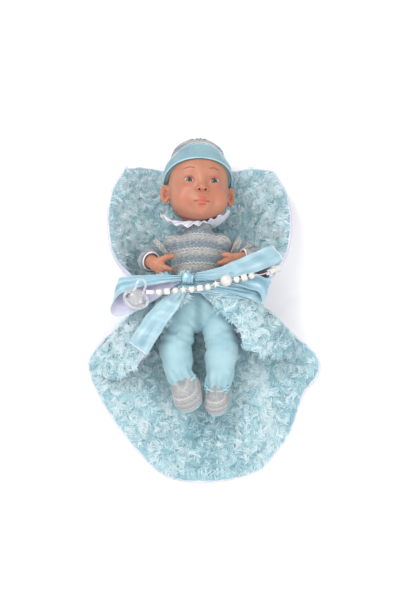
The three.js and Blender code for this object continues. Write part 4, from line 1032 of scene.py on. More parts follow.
def lips(m):
    """The upper and the lower lip."""
    return rods(m, UPPER_LIP, [2.0, 2.25, 1.6, 0.8]), rods(m, LOWER_LIP, [2.1, 1.8, 0.8])


def nostrils(m):
    return rod(m, (5.2, -20.2, 54), (3.9, -15, 48), 1.5, 1.2)


def lid_fold(m):
    x, y, _ = EYE_AT
    line = [(x - 8, y + 3.6, 46), (x - 4, y + 6.6, 47.2), (x + 1, y + 7.4, 46.8), (x + 6, y + 5.8, 44.6),
            (x + 9, y + 2.4, 42)]
    return rods(m, line, [0.3, 0.7, 0.8, 0.7, 0.3])


def ear_field(q):
    ear = egg(q, (0, 0, 0), (8.3, 14.2, 3.2))
    ear = melt(ear, egg(q, (0.3, -12, 0.8), (4.4, 4.4, 2.9)), 2)
    ear = carve(ear, egg(q, (0.4, -1, 4.6), (5.4, 9, 4.2)), 1.4)
    helix = [(-5, 4, 2.4), (-3, 10, 2.4), (2.5, 12.6, 2.0), (6.9, 8.6, 1.7), (7.9, 0, 1.5), (6.4, -8, 1.5),
             (3, -12, 1.4)]
    ear = melt(ear, rods(q, helix, [1.4, 1.8, 1.9, 1.9, 1.8, 1.7, 1.5]), 1)
    antihelix = [(2, 8, 1.2), (4.2, 1, 1.2), (2.4, -6, 1.4), (-2, -8, 1.4)]
    ear = melt(ear, rods(q, antihelix, [1.2, 1.3, 1.3, 1.2]), 0.9)
    return melt(ear, ball(q, (-4.6, -2.6, 2.6), 2.2), 1.2)


def head_field(p):
    m = mirrored(p)
    short = np.array(p)
    short[..., 1] *= np.where(p[..., 1] < 0, np.float32(1.14), np.float32(1))
    d = egg(short, (0, 0, 0), HEAD["radii"])
    d = melt(d, egg(p, (0, 20, 14), (41, 30, 36)), 10)
    d = melt(d, ball(m, (20.5, -26, 22.5), 20.5), 12)
    d = melt(d, egg(p, (0, -40, 25), (21, 14.5, 18)), 10)
    d = melt(d, ball(p, (0, -46.5, 34.5), 7), 7)
    d = melt(d, egg(p, (0, -30.5, 38.5), (17, 13, 11)), 7)
    d = carve(d, ball(m, (17.5, 0, 56.5), 10.5), 9)
    d = melt(d, ball(m, EYE_AT, 10.1), 3)
    d = carve(d, lid_fold(m), 1.3)
    d = carve(d, np.maximum(lens_shape(m), EYE["z"] - p[..., 2]), 0.7)
    d = melt(d, rod(p, (0, 3, 44.5), (0, -12, 50), 3.6, 4.2), 7)
    d = melt(d, ball(p, (0, -14.9, 51.8), 5.3), 4)
    d = melt(d, ball(m, (6.3, -16.4, 48.6), 3.9), 2.6)
    d = carve(d, nostrils(m), 1.0)
    d = carve(d, rod(p, (0, -20.5, 53.2), (0, -27, 53.6), 1.5, 1.8), 2.2)
    upper, lower = lips(m)
    d = melt(melt(d, upper, 1.6), lower, 1.6)
    d = carve(d, rods(m, MOUTH, [1.7, 0.9, 0.35]), 0.9)
    d = carve(d, egg(p, (0, -42.6, 46.5), (7, 2.0, 3)), 3)
    d = melt(d, ear_field(in_ear(m)), 2.5)
    neck = rod(p, (0, -30, -4), (0, -63, -4), 17.8, 18.2)
    return np.maximum(melt(d, neck, 6), -66 - p[..., 1])


def skin_fields(p):
    """How far each point of the face is blushed, darkened by painted shade in its creases, on an eyelid's edge
    or on the lips.
    """
    m = mirrored(p)
    upper, lower = lips(m)
    front = p[:, 2] > 38
    lip = smoothstep(1.5, -0.2, np.minimum(upper, lower)) * front
    lip *= smoothstep(0.2, 1.6, ball(p, (0, -25.8, 54.4), 1.5))
    lip *= 1 - 0.75 * smoothstep(1.3, 0.2, rods(m, MOUTH, [1.2, 0.5, 0.3]))
    lid = smoothstep(1.3, 0.2, np.abs(lens_shape(m))) * (np.linalg.norm(m - EYE_AT, axis=1) < 11.5) * front
    q = in_ear(m)
    # painted shade in the nostrils, the mouth's slot, the fold over each eye and the ear's bowl
    crease_shade = (
        smoothstep(1.3, 0.0, nostrils(m)) * front
        + 1.25 * smoothstep(1.6, 0.3, rods(m, MOUTH, [1.3, 0.7, 0.3])) * front
        + 0.35 * smoothstep(1.2, 0, lid_fold(m)) * front
        + 0.5 * smoothstep(1.5, -0.5, egg(q, (0.4, -1, 3.0), (4.2, 7.6, 3))) * (m[:, 0] > 42)
    )
    blush = (
        0.6 * smoothstep(21, 3, np.linalg.norm(m - (25, -24, 38), axis=1))
        + 0.55 * smoothstep(9, 2, np.linalg.norm(m - (3, -16, 54), axis=1))
        + 0.5 * smoothstep(11, 3, np.linalg.norm(p - (0, -47, 40), axis=1))
        + 0.4 * smoothstep(6, 0, np.abs(q[:, 2] - 1)) * (m[:, 0] > 46)
        + 0.35 * smoothstep(13, 9, np.linalg.norm(m - EYE_AT, axis=1)) * front
        + 0.3 * smoothstep(20, 4, np.linalg.norm(p - (0, -33, 50), axis=1))
    )
    return {"blush": blush.clip(0, 1), "crease_shade": crease_shade.clip(0, 1), "lid": lid, "lip": lip}


def face_at(x, y):
    """The height of the face's surface over points of the face."""
    low, high = np.full(len(x), 30.0), np.full(len(x), 62.0)
    for _ in range(22):
        middle = (low + high) / 2
        outside = head_field(np.float32(np.stack([x, y, middle], 1))) > 0
        high, low = np.where(outside, middle, high), np.where(outside, low, middle)
    return low


def brow(way):
    """Fine hairs of one eyebrow, following its arch."""
    many = 140
    along = RNG.random(many)
    x = way * (10.5 + 15.5 * along)
    y = 14.4 + 3.6 * np.sin(np.pi * (0.12 + 0.72 * along)) + RNG.normal(0, 0.6, many) * (1 - 0.5 * along)
    lean = np.radians(38 - 62 * along) + RNG.normal(0, 0.15, many)
    length = RNG.uniform(1.6, 2.6, many)
    parts = []
    for part in range(many):
        at = np.linspace(0, 1, 3) * length[part]
        px = x[part] + way * np.cos(lean[part]) * at
        py = y[part] + np.sin(lean[part]) * at
        line = np.stack([px, py, face_at(px, py) + 0.06], 1)
        parts.append(capped(tube(line, [0.17, 0.15, 0.05], 4)))
    points, faces = joined(*parts)
    return from_head(points), faces


def eyeball(name, way):
    """A round eye with a raised clear front; its paint is laid out by angle from the way that it looks."""
    angle = np.concatenate([np.linspace(0.002, 0.62, 32), np.linspace(0.66, 1.75, 24)])
    turn = once_round(64)
    size = (EYE["radius"] + 0.03) + 0.55 * smoothstep(0.62, 0.2, angle)
    a, t = np.meshgrid(angle, turn, indexing="ij")
    r = size[:, None]
    grid = np.stack([r * np.sin(a) * np.cos(t), r * np.sin(a) * np.sin(t), r * np.cos(a)], -1)
    look = np.array(Vector((-0.03, -0.1, 1)).to_track_quat("Z", "Y").to_matrix())
    points, faces = capped(grid[::-1])
    shown = {"angle": a[::-1].ravel(), "turn": np.abs(t[::-1].ravel() - np.pi)}
    points = from_head(points @ look.T + (way * EYE["x"], EYE["y"], EYE["z"]))
    piece(f"{name}_glass", points, faces, EYE_PAINT, "head", "eye", [name], fields=shown)


def head():
    points, faces = skin_of(head_field, (-60, -68, -54), (60, 62, 60), 0.95)
    local, faces = part_of(points, faces, points[faces].mean(1)[:, 1] < 56)
    piece("head_skin", from_head(local), faces, SKIN, "head", "skin", ["head_shell"],
          fields=skin_fields(local))
    eyeball("eye_right", -1)
    eyeball("eye_left", 1)
    for name, way in (("brow_right", -1), ("brow_left", 1)):
        points, faces = brow(way)
        piece(name, points, faces, BROW, "head", "skin")
    lashes()


def lashes():
    """Short lashes painted along the upper lids, as fine hairs."""
    parts = []
    for way in (-1, 1):
        for along in np.linspace(-0.93, 0.95, 34):
            u = along * 7.3
            top = EYE["top"] * (1 - along**2) ** 0.72 + 0.1 * u
            x, y = EYE["x"] + u, EYE["y"] + top + 0.15
            out = unit(np.array([along * 0.9 + 0.15, 0.9, 0.5]))
            z = EYE["z"] + math.sqrt(max(10.15**2 - (x - EYE["x"]) ** 2 - (y - EYE["y"]) ** 2, 0))
            at = np.linspace(0, 1, 4)[:, None] * RNG.uniform(1.2, 1.9)
            line = np.array([x, y - 0.3, z]) + out * at + np.array([0, 0, 0.25]) * at**2
            line[:, 0] *= way
            parts.append(capped(tube(line, [0.13, 0.12, 0.09, 0.03], 4)))
    points, faces = joined(*parts)
    piece("lashes", from_head(points), faces, BROW, "head", "skin")


head()


# ---- hat: marled knit crown over a jersey band ----

def hat_edge(a):
    """The polar angle of the hat's edge at the turn a, from the crown."""
    _, ry, rz = HAT["radii"]
    lean = rz * np.cos(a) * math.tan(math.radians(HAT["tilt"]))
    return np.arccos(HAT["temple_y"] / np.hypot(ry, lean)) - np.arctan2(lean, ry)


def hat_band(a):
    """The arc that the jersey band takes up: broad over the brow and narrower towards the nape."""
    return np.radians(HAT["band"] - 14 * (1 - np.cos(a)).clip(0, 1))


def hat_points(a, t, out):
    """Points on the hat's dome at the turn a and polar angle t, `out` millimetres off it."""
    rx, ry, rz = HAT["radii"]
    base = np.stack([rx * np.sin(t) * np.sin(a), ry * np.cos(t), rz * np.sin(t) * np.cos(a)], -1)
    off = unit(base / np.array([rx, ry, rz]) ** 2)
    slouch = smoothstep(0.95, 0.3, t) * smoothstep(0, 0.3, t) * 6
    puffed = (4.2 * bell(t, 1.0, 0.28) + 6 * bell(t, 0.6, 0.22)) * np.sin(a) ** 2
    peak = 13 * smoothstep(0.95, 0.0, t)[..., None] * np.array([0.05, 1, -0.1])
    return base + off * (np.asarray(out) + slouch + puffed)[..., None] + peak


def hat():
    around = once_round(200)
    band = hat_band(around)
    edge = hat_edge(around)
    s = np.linspace(0, 1, 60)[:, None]
    t = (edge - band) * (1 - s) + 0.012 * s
    a = np.broadcast_to(around, t.shape)
    folds = np.sin(13 * a + 1.5 * np.sin(3 * a)) * bell(t, 0, 0.45) * 1.3
    slack = np.sin(5 * a + 1) * np.sin(t * 9 + 2 * np.sin(a)) * 0.7
    knit = hat_points(a, t, 0.5 + folds + slack)
    points, faces = capped(knit)
    piece("hat_knit", from_head(points), faces, KNIT, "head", "knit", ["hat"], uv=uv_of(a * 52, t * 60))

    s = np.linspace(0, 1, 26)[:, None]
    t = edge * (1 - s) + (edge - band) * s
    a = np.broadcast_to(around, t.shape)
    puff = 1.5 + 0.5 * np.sin(np.pi * s) + 0.3 * np.sin(7 * a + 4 * s)
    puff = puff + 0.18 * np.sin(23 * a + 3 * np.sin(6 * s))
    turned_in = np.array([-1.2, -3.4, -5, -6, -6.2, -1.2])[:, None]
    grid = np.concatenate([
        hat_points(a[:6], t[:6], turned_in), hat_points(a, t, puff), hat_points(a[-1:], t[-1:], -0.3),
    ])
    uv = uv_of(around * 52, np.arange(len(grid))[:, None] * 1.1)
    faces = grid_faces(*grid.shape[:2], closed=True)
    piece("hat_band", from_head(grid.reshape(-1, 3)), faces, BAND_JERSEY, "head", "jersey", uv=uv)

    ring = np.append(around, around[:1])
    rolls = (("hat_piping", 0.005, 0.9, 1.2), ("hat_seam", hat_band(ring) - 0.012, 1.5, 0.7))
    for name, up, off, size in rolls:
        line = hat_points(ring, hat_edge(ring) - up, off)
        tube_piece(name, from_head(line), size, TRIM, sides=8, body="head", slot="jersey")
    many = 480
    a = np.linspace(0, 2 * np.pi, many + 1)
    zig = np.abs((np.arange(many + 1) % 8) - 4) / 4
    line = hat_points(a, hat_edge(a) - hat_band(a) - 0.03 - 0.032 * zig, 1.25)
    tube_piece("hat_stitch", from_head(line), 0.42, ORGANZA_EDGE, sides=6, body="head", slot="knit")


hat()


# ---- sweater, sleeves, arms and hands ----

ARM = {
    "right": [(-62, 92, 52), (-72, 84, 50), (-82, 71, 50), (-85, 64, 62), (-81, 61, 75), (-76, 57, 81)],
    "left": [(42, 92, 52), (57, 85, 48), (72, 75, 53), (73, 67, 66), (62, 64, 78), (48, 62, 83)],
}
SLEEVE_RADII = [17, 16, 15.5, 14.5, 14]
HAND = {
    "right": {
        "wrist": (-79, 59.5, 77), "palm": (-70, 53, 86),
        "along": (0.93, -0.3, 0.2), "spread": (0.3, 0.95, 0.05),
        "finger": [(-64, 48.5, 88), (-57, 46, 89.4), (-50.5, 44, 88.6)],
        "thumb": [(-66, 58, 89), (-56, 62, 92), (-47, 64.5, 91)],
    },
    "left": {
        "wrist": (50, 62, 82), "palm": (39, 59.5, 86),
        "along": (-0.95, -0.2, 0.15), "spread": (-0.2, 0.97, 0.05),
        "finger": [(34, 57, 87), (28, 55.2, 88.4), (22.5, 54, 87.6)],
        "thumb": [(38, 63, 90), (33, 65.5, 92), (28, 66, 91.4)],
    },
}


def along_line(values, points):
    """Numbers given at the points of a line, spread evenly over the whole line."""
    return np.interp(np.linspace(0, len(values) - 1, points), np.arange(len(values)), values)


def sweater_field(p):
    d = egg(p, SWEATER["centre"], SWEATER["radii"])
    y, z = SHOULDER["y"], SHOULDER["z"]
    d = melt(d, rod(p, (BODY_X - 33, y, z), (BODY_X + 33, y, z), SHOULDER["radius"], SHOULDER["radius"]), 9)
    d = melt(d, rod(p, (BODY_X, 96, 58), (BODY_X, 112, 62), 27, 20.5), 8)
    x = p[..., 0] - BODY_X
    folds = np.sin(x * 0.16 + p[..., 1] * 0.13 + 1.1) * bell(np.abs(x), 34, 16)
    pulls = np.sin(p[..., 1] * 0.34 + 0.9 * np.sin(x * 0.09)) * smoothstep(70, 30, p[..., 1])
    d = d - 1.1 * folds - 0.7 * pulls
    return np.maximum(np.maximum(d, SWEATER["hem_y"] - 2 - p[..., 1]), p[..., 1] - 121.5)


def sweater():
    points, faces = skin_of(sweater_field, (-75, 16, 2), (55, 138, 92), 1.5)
    turn = np.arctan2(points[:, 0] - BODY_X, points[:, 2] - SWEATER["centre"][2])
    ridge = 0.45 * np.sin(points[:, 1] * 2 * np.pi / 3.1) * smoothstep(30, 34, points[:, 1])
    points = points + unit(points - SWEATER["centre"]) * ridge[:, None] * 0.5
    uv = np.stack([turn * 38, points[:, 1]], 1)
    piece("sweater", points, faces, KNIT, "torso", "knit", ["sweater_body"], uv=uv)


def sleeve(side):
    line = spline(ARM[side], 12)
    cuff = 4 * 12 + 4
    radii = along_line(SLEEVE_RADII, cuff + 1)
    radii = np.concatenate([radii, radii[::-1][:10] - 2.2])
    order = np.concatenate([np.arange(cuff + 1), np.arange(cuff, cuff - 10, -1)])
    a = once_round(72)
    side_way, lift = frames(line, (0, 1, 0))
    gone = run_along(line)
    s = gone[order][:, None]
    bend = bell(s, gone[26], 13)
    wrinkle = (
        1.5 * bend * np.sin(s * 0.75 + 1.6 * np.sin(a + 0.6)[None])
        + 0.7 * np.sin(s * 0.33 + 2 * np.sin(a)[None] + 1)
        + 0.22 * np.sin(s * 2 * np.pi / 3.1)
    )
    wrinkle[cuff + 1:] *= 0.2
    grid = rings(line[order], side_way[order], lift[order], a, radii[:, None] + wrinkle)
    uv = uv_of(a[None] * 15, s + 4)
    points, faces = capped(grid)
    piece(f"sleeve_{side}_knit", points, faces, KNIT, f"arm_{side}", "knit", [f"sleeve_{side}"], uv=uv)
    rim = closed_line(grid[cuff])
    tube_piece(f"sleeve_{side}_trim", rim, 0.95, ORGANZA_EDGE, sides=10, body=f"arm_{side}", slot="jersey")


def hand_field(side):
    hand = HAND[side]
    palm, along, spread = (np.array(hand[k], float) for k in ("palm", "along", "spread"))
    along, spread = unit(along), unit(spread)
    depth = np.cross(along, spread)
    depth *= np.sign(depth[2])
    arm_line = np.array(ARM[side], float)

    def field(p):
        away = p - np.float32(palm)
        q = np.stack([away @ np.float32(v) for v in (along, spread, depth)], -1)
        d = egg(q, (0, -0.5, -0.5), (12.5, 11, 7.2))
        d = melt(d, rod(p, arm_line[3], arm_line[4], 11, 10.5), 3)
        d = melt(d, rod(p, arm_line[4], hand["wrist"], 10.5, 9.2), 3)
        d = melt(d, rod(p, hand["wrist"], palm, 9.2, 7.6), 3)
        d = melt(d, rods(p, hand["finger"], [5.0, 4.5, 3.6], 1), 1.3)
        d = melt(d, rods(p, hand["thumb"], [5.0, 4.4, 3.5], 1), 1.5)
        for k in range(3):  # curled fingers beside the pointing one
            root = palm + along * (8 - k * 1.6) - spread * (2.5 + 3.9 * k) + depth * (2.4 - 1.0 * k)
            knuckle = root + along * (4.6 - 0.6 * k) - depth * 1.6 - spread * 0.4
            tip = knuckle - along * 3 - depth * 4.6
            d = melt(d, rods(p, [root, knuckle, tip], [3.8 - 0.2 * k, 3.7 - 0.2 * k, 3.0], 0.8), 0.7)
        return d

    return field, palm


def arm(side):
    field, palm = hand_field(side)
    reach = np.array([24, 23, 20.0])
    low = np.minimum(palm - reach, np.array(ARM[side][3]) - 14)
    high = np.maximum(palm + reach + (8 if side == "right" else 0, 0, 0), np.array(ARM[side][3]) + 14)
    if side == "left":
        low[0] -= 4
    points, faces = skin_of(field, tuple(low), tuple(high), 0.75)
    none = np.zeros(len(points))
    tips = [np.array(HAND[side][k][-1]) for k in ("finger", "thumb")]
    blush = sum(smoothstep(8, 1, np.linalg.norm(points - tip, axis=1)) for tip in tips)
    blush = blush * 0.7 + 0.35 * smoothstep(12, 4, np.linalg.norm(points - palm, axis=1))
    piece(f"arm_{side}_skin", points, faces, SKIN, f"arm_{side}", "skin", [f"arm_{side}"],
          fields={"blush": blush.clip(0, 1), "crease_shade": none, "lid": none, "lip": none})


sweater()
for side in ("right", "left"):
    sleeve(side)
    arm(side)


# ---- organza collar ----

COLLAR_INNER = [
    (-31, 121.5, 60), (-29, 121.5, 70), (-22, 121, 79), (-12, 120.5, 83), (-2, 121, 81), (7, 121.5, 74),
    (11, 122, 63), (9, 122, 51), (1, 121, 43), (-10, 121, 41), (-21, 121, 43), (-29, 121, 50),
]
COLLAR_OUTER = [
    (-67, 140, 56), (-63, 134, 70), (-47, 119, 82), (-30, 113, 87), (-12, 114, 88), (6, 121, 86),
    (24, 131, 80), (38, 143, 66), (36, 146, 46), (12, 134, 32), (-18, 132, 30), (-50, 138, 40),
]


def collar():
    ring = [np.array(points + points[:3], float) for points in (COLLAR_INNER, COLLAR_OUTER)]
    inner, outer = (spline(points, 22)[22:-22] for points in ring)
    around = np.arange(len(inner)) / len(inner) * 2 * np.pi
    across = 22
    s = np.linspace(0, 1, across)[None, :]
    ruffle = 3.1 * s**1.3 * np.sin(15 * around + 1.3 * np.sin(3 * around))[:, None]
    fine = 0.7 * s * np.sin(41 * around)[:, None]
    dome = 2.5 * np.sin(np.pi * s)
    grid = inner[:, None] * (1 - s[..., None]) + outer[:, None] * s[..., None]
    rise = s**2.4
    grid[..., 1] = inner[:, None, 1] * (1 - rise) + outer[:, None, 1] * rise
    grid[..., 2] += ruffle + fine + dome
    grid[..., 1] += 0.4 * ruffle
    grid = np.swapaxes(grid, 0, 1)
    points, faces = sheet_of(grid, 0.22, 0.22, closed=True)
    uv = uv_of(around[None] * 45, np.arange(across)[:, None] * 1.3)
    cloth = piece("collar_cloth", points, faces, ORGANZA, None, "organza", ["collar_ruffle"],
                  uv=np.concatenate([uv, uv]))
    edge = closed_line(grid[-1])
    rim = tube_piece("collar_edge", edge, 0.55, ORGANZA_EDGE, sides=6, slot="organza")
    neck = closed_line(grid[0])
    band = tube_piece("collar_band", neck, 1.3, TRIM, sides=10, slot="jersey")
    for made in (cloth, rim, band):
        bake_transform(made)
    # Worked out as the mean of the modelled edge and neck, and not as a cut; nothing uses it. A strip gathered
    # at the neck would be cut to the edge's length, and this cloth has about half its area: the gathers at the
    # neck are too shallow.
    width = float(np.linalg.norm(np.diff(grid, axis=0), axis=-1).sum(0).mean()) * MM


collar()


# ---- trousers and bootees ----

LEG = {
    "right": [(-36, -6, 46), (-40, -38, 50), (-42, -70, 52), (-37, -100, 48), (-29, -118, 45)],
    "left": [(16, -6, 46), (22, -38, 50), (25, -70, 50), (22, -104, 42), (18, -124, 36)],
}
PANTS_RADII = [24.5, 24, 23.5, 19, 15.5]
CROTCH_X = -9
FOOT = {
    "right": {"heel": (-27, -124, 41), "toe": (-25, -141, 57), "radii": (23.5, 22)},
    "left": {"heel": (18, -130, 29), "toe": (17, -147, 44), "radii": (19.5, 19)},
}


def pant_leg(side):
    line = spline(LEG[side], 20)
    line = np.concatenate([[line[0] + [0, 16, 0]], line])
    lift, side_way = frames(line, (0, 0, 1))
    a = once_round(96)
    gone = run_along(line)
    s = (gone / gone[-1])[:, None]
    length = gone[:, None]
    radii = along_line([24, *PANTS_RADII], len(line))[:, None]
    seed = 0.7 if side == "right" else 2.1
    wrinkle = (
        1.1 * np.sin(length * 0.16 + 2.2 * np.sin(a[None] + seed))
        + 0.6 * np.sin(length * 0.31 - 1.7 * np.cos(a[None] * 2 + seed))
        + 1.5 * smoothstep(0.72, 0.95, s) * np.sin(a[None] * 9 + length * 0.05 + seed)
        + 0.9 * bell(s, 0.5, 0.12) * np.sin(length * 0.5 + a[None] * 1.5)
    )
    wrinkle *= smoothstep(0.0, 0.08, 1.02 - s)
    grid = rings(line, lift, side_way, a, radii + wrinkle)
    uv = uv_of(a[None] * 22, length)
    points, faces = capped(grid)
    piece(f"trouser_{side}", points, faces, JERSEY, f"leg_{side}", "jersey", [f"pant_leg_{side}"], uv=uv,
          fields={"shaded": between_legs(points)})


def between_legs(points):
    """How deep in the shade of the wrap and of the other leg each point of the trousers lies."""
    x, y = points[:, 0] - CROTCH_X, points[:, 1]
    wedge = smoothstep(9 + 0.1 * np.abs(y), 1, np.abs(x)) * smoothstep(12, -12, y) * smoothstep(-118, -60, y)
    under_ribbon = smoothstep(-16, 14, y)
    return (0.5 * wedge + 0.45 * under_ribbon).clip(0, 0.75)


def seat():
    def field(p):
        d = egg(p, (BODY_X, 8, 47), (49, 46, 36.5))
        d = melt(d, egg(p, (BODY_X, -22, 48), (22, 17, 20)), 12)
        x = p[..., 0] - BODY_X
        gathers = np.sin(x * 0.3 + 0.4 * p[..., 1])
        d = d - 0.9 * gathers * smoothstep(40, 0, np.abs(x)) * smoothstep(30, -10, p[..., 1])
        return np.maximum(d, p[..., 1] - 23)

    points, faces = skin_of(field, (-66, -46, 4), (46, 27, 92), 1.6)
    uv = np.stack([points[:, 0], points[:, 1]], 1)
    piece("trouser_seat", points, faces, JERSEY, "torso", "jersey", ["pants_seat"], uv=uv,
          fields={"shaded": between_legs(points)})


def bootee(side):
    foot = FOOT[side]
    heel, toe = np.array(foot["heel"], float), np.array(foot["toe"], float)
    ra, rb = foot["radii"]
    ankle = np.array(LEG[side][-1], float)
    sole_way = np.array([0.34 if side == "right" else 0.1, -0.63, -0.69])
    sole_way /= np.linalg.norm(sole_way)
    sole_at = (heel + toe) / 2 + sole_way * 15

    def field(p):
        d = rod(p, heel, toe, ra - 1.5, rb - 1)
        d = melt(d, rod(p, ankle, heel, 15.5, 16.5), 6)
        flat = (p - np.float32(sole_at)) @ np.float32(sole_way)
        d = melt(np.maximum(d, flat), np.maximum(d + 2, flat - 1.6), 2)
        return d

    low = np.minimum(heel, toe) - 26
    high = np.maximum(ankle, np.maximum(heel, toe)) + 26
    points, faces = skin_of(field, low, high, 1.3)
    along = unit(toe - heel)
    side_way = unit(np.cross(along, sole_way))
    up = -sole_way
    away = points - (heel + toe) / 2
    turn = np.arctan2(away @ side_way, away @ along)
    height = away @ up
    ribs = 0.5 * np.sin(height * 2 * np.pi / 3.0) * smoothstep(-12, -8, height)
    points = points + unit(away) * ribs[:, None] * 0.8
    uv = np.stack([turn * 19, height + 9], 1)
    piece(f"bootee_{side}", points, faces, BOOTEE_KNIT, f"leg_{side}", "knit", [f"bootie_{side}"], uv=uv)

    a = np.linspace(0, 2 * np.pi, 90)
    ring = []
    level = sole_at - sole_way * 3.5
    for turn in a:
        out = along * math.cos(turn) + side_way * math.sin(turn)
        r = np.linspace(2, 44, 85)
        inside = field(np.float32(level + np.outer(r, out))) < 0
        ring.append(level + out * r[inside.nonzero()[0].max() if inside.any() else 0])
    ring = np.array(ring)
    ring = (np.roll(ring[:-1], 1, 0) + ring[:-1] * 2 + np.roll(ring[:-1], -1, 0)) / 4
    tube_piece(f"bootee_{side}_piping", closed_line(ring), 1.3, TRIM, sides=10, body=f"leg_{side}",
               slot="jersey")

    way = unit(ankle - heel)
    across = unit(np.cross(way, (1, 0, 0.2)))
    over = np.cross(way, across)
    parts = []
    t = np.linspace(0, 2 * np.pi, 120)
    for lift, r, size in ((2.5, 17.6, 1.5), (7.5, 16.8, 1.7)):
        gather = (r + 0.9 * np.sin(t * 14))[:, None]
        x, y = np.cos(t)[:, None] * gather, np.sin(t)[:, None] * gather
        line = ankle + way * lift + x * across + y * over
        parts.append(capped(tube(line, size, 10)))
    points, faces = joined(*parts)
    piece(f"bootee_{side}_gather", points, faces, TRIM, f"leg_{side}", "jersey",
          uv=np.zeros((len(points), 2)))


seat()
for side in ("right", "left"):
    pant_leg(side)
    bootee(side)


# ---- satin ribbon: band, knot, loops and tails ----

LOOP = {
    "right": [
        [(-34, 30, 104), (-34, 23, 105)], [(-62, 31, 103.5), (-62, 19, 106)],
        [(-95, 31, 100), (-97, 12, 104.5)],
        [(-118, 31, 95), (-123, 3, 99)], [(-126, 29, 89), (-138, -13, 91)], [(-121, 27, 84), (-132, -24, 84)],
        [(-100, 23, 86), (-107, -21, 87)], [(-66, 22, 94), (-72, -3, 94)], [(-36, 27, 101), (-37, 20, 101)],
    ],
    "left": [
        [(-14, 31, 104), (-14, 23, 104)], [(20, 37, 104.5), (22, 22, 105.5)],
        [(56, 37, 102), (56, 13, 104.5)],
        [(86, 31, 94), (79, 7, 97.5)], [(97, 27, 88), (86, -7, 91)], [(90, 22, 84), (82, -6, 87)],
        [(50, 18, 95), (48, 4, 96)], [(16, 20, 101), (16, 10, 101)], [(-14, 26, 101), (-14, 19, 101)],
    ],
}
TAIL = {
    "right": {"line": [(-31, 12, 101), (-45, -6, 102), (-68, -32, 98.5), (-84, -54, 90), (-97, -72, 79)],
              "half": [5, 11, 15, 16, 16],
              "follows": "leg_right", "start": (-0.03, 0.006, 0.1), "end": (-0.09, -0.075, 0.08)},
    "left": {"line": [(-12, 31, 104), (22, 33, 107), (60, 45, 106), (86, 58, 98), (108, 71, 89)],
             "half": [4, 9, 13, 14.5, 13],
             "follows": "arm_left", "start": (0.02, 0.042, 0.106), "end": (0.08, 0.062, 0.1)},
}


def ribbon_sheet(name, rows, paints, node, body, pleats=0.8, thick=0.22):
    """A ribbon through pairs of edge points, pleated where it is drawn in, with an inner face of its own."""
    across, along = 24, 14
    edges = spline(np.array(rows, float), along)
    if grid_normals(edges)[:along * 2, :, 2].mean() < 0:
        edges = edges[:, ::-1]
    s = np.linspace(0, 1, across)[None, :, None]
    grid = edges[:, :1] * (1 - s) + edges[:, 1:] * s
    width = np.linalg.norm(edges[:, 0] - edges[:, 1], axis=1)
    tight = smoothstep(26, 6, width)[:, None]
    t = np.arange(len(grid))[:, None]
    long = run_along(edges.mean(1))[:, None]
    ripple = pleats * (
        1.5 * (1 - tight) * np.sin(long * 2 * np.pi / 31 + 2.4 * s[..., 0] + 0.6)
        + 1.6 * tight * np.sin(s[..., 0] * 2 * np.pi * 2.6 + 0.5)
        + (1 - tight) * (0.9 * np.sin(s[..., 0] * 5.2 + t * 0.11) + 0.4 * np.sin(s[..., 0] * 11 + t * 0.07))
    )
    grid = grid + grid_normals(grid) * ripple[..., None]
    points, faces = sheet_of(grid, thick, thick)
    many = (len(grid) - 1) * (across - 1)
    gone = run_along(grid[:, across // 2])
    uv = uv_of(gone[:, None], s[..., 0] * width.mean())
    inside = (np.arange(len(faces)) >= many) & (np.arange(len(faces)) < 2 * many)
    made = piece(name, points, faces, paints, body, "satin", [node], which=inside.astype(int),
                 uv=np.concatenate([uv, uv]))
    return made, grid, (float(gone[-1]) * MM, float(width.mean()) * MM)


def selvage(name, line, body):
    return tube_piece(name, line, 0.42, SATIN_EDGE, sides=6, body=body, slot="satin")


def band():
    a = once_round(420)
    across = 30
    s = np.linspace(-1, 1, across)[:, None]
    knot_near = bell(a, math.pi * 0.57, 0.42)[None, :]
    half = BAND["width"] / 2 * (1 - 0.32 * knot_near)
    y = BAND["y"] + half * s + 3.5 * knot_near
    power = 0.72

    def side(value):
        return np.sign(value) * np.abs(value) ** power

    high = (BAND["top"] - BAND["base"]) / 2
    creases = 0.55 * np.sin(s * 8 + 2.2 * np.sin(a * 3)[None]) + 0.4 * np.sin(s * 17 + 5 * np.sin(a)[None])
    creases = creases * (0.35 + 1.4 * knot_near)
    creases = np.where(np.sin(a)[None] < -0.55, np.minimum(creases, 0), creases)
    x = BAND["x"] + side(np.cos(a))[None] * (BAND["half_width"] - 0.5 + creases)
    z = BAND["base"] + high + side(np.sin(a))[None] * (high - 0.5 + creases)
    grid = np.stack(np.broadcast_arrays(x, y, np.maximum(z, 0.35)), -1)
    points, faces = sheet_of(grid, 0.25, 0.25, closed=True)
    points[:, 2] = np.maximum(points[:, 2], 0.05)
    round_it = run_along(grid[across // 2])
    uv = uv_of(round_it[None], y)
    cloth = piece("ribbon_band_satin", points, faces, SATIN, "torso", "satin", ["ribbon_band"],
                  uv=np.concatenate([uv, uv]))
    for name, row in (("ribbon_band_edge_top", -1), ("ribbon_band_edge_foot", 0)):
        line = closed_line(grid[row])
        line[:, 2] = np.maximum(line[:, 2], 0.45)
        selvage(name, line, "torso")


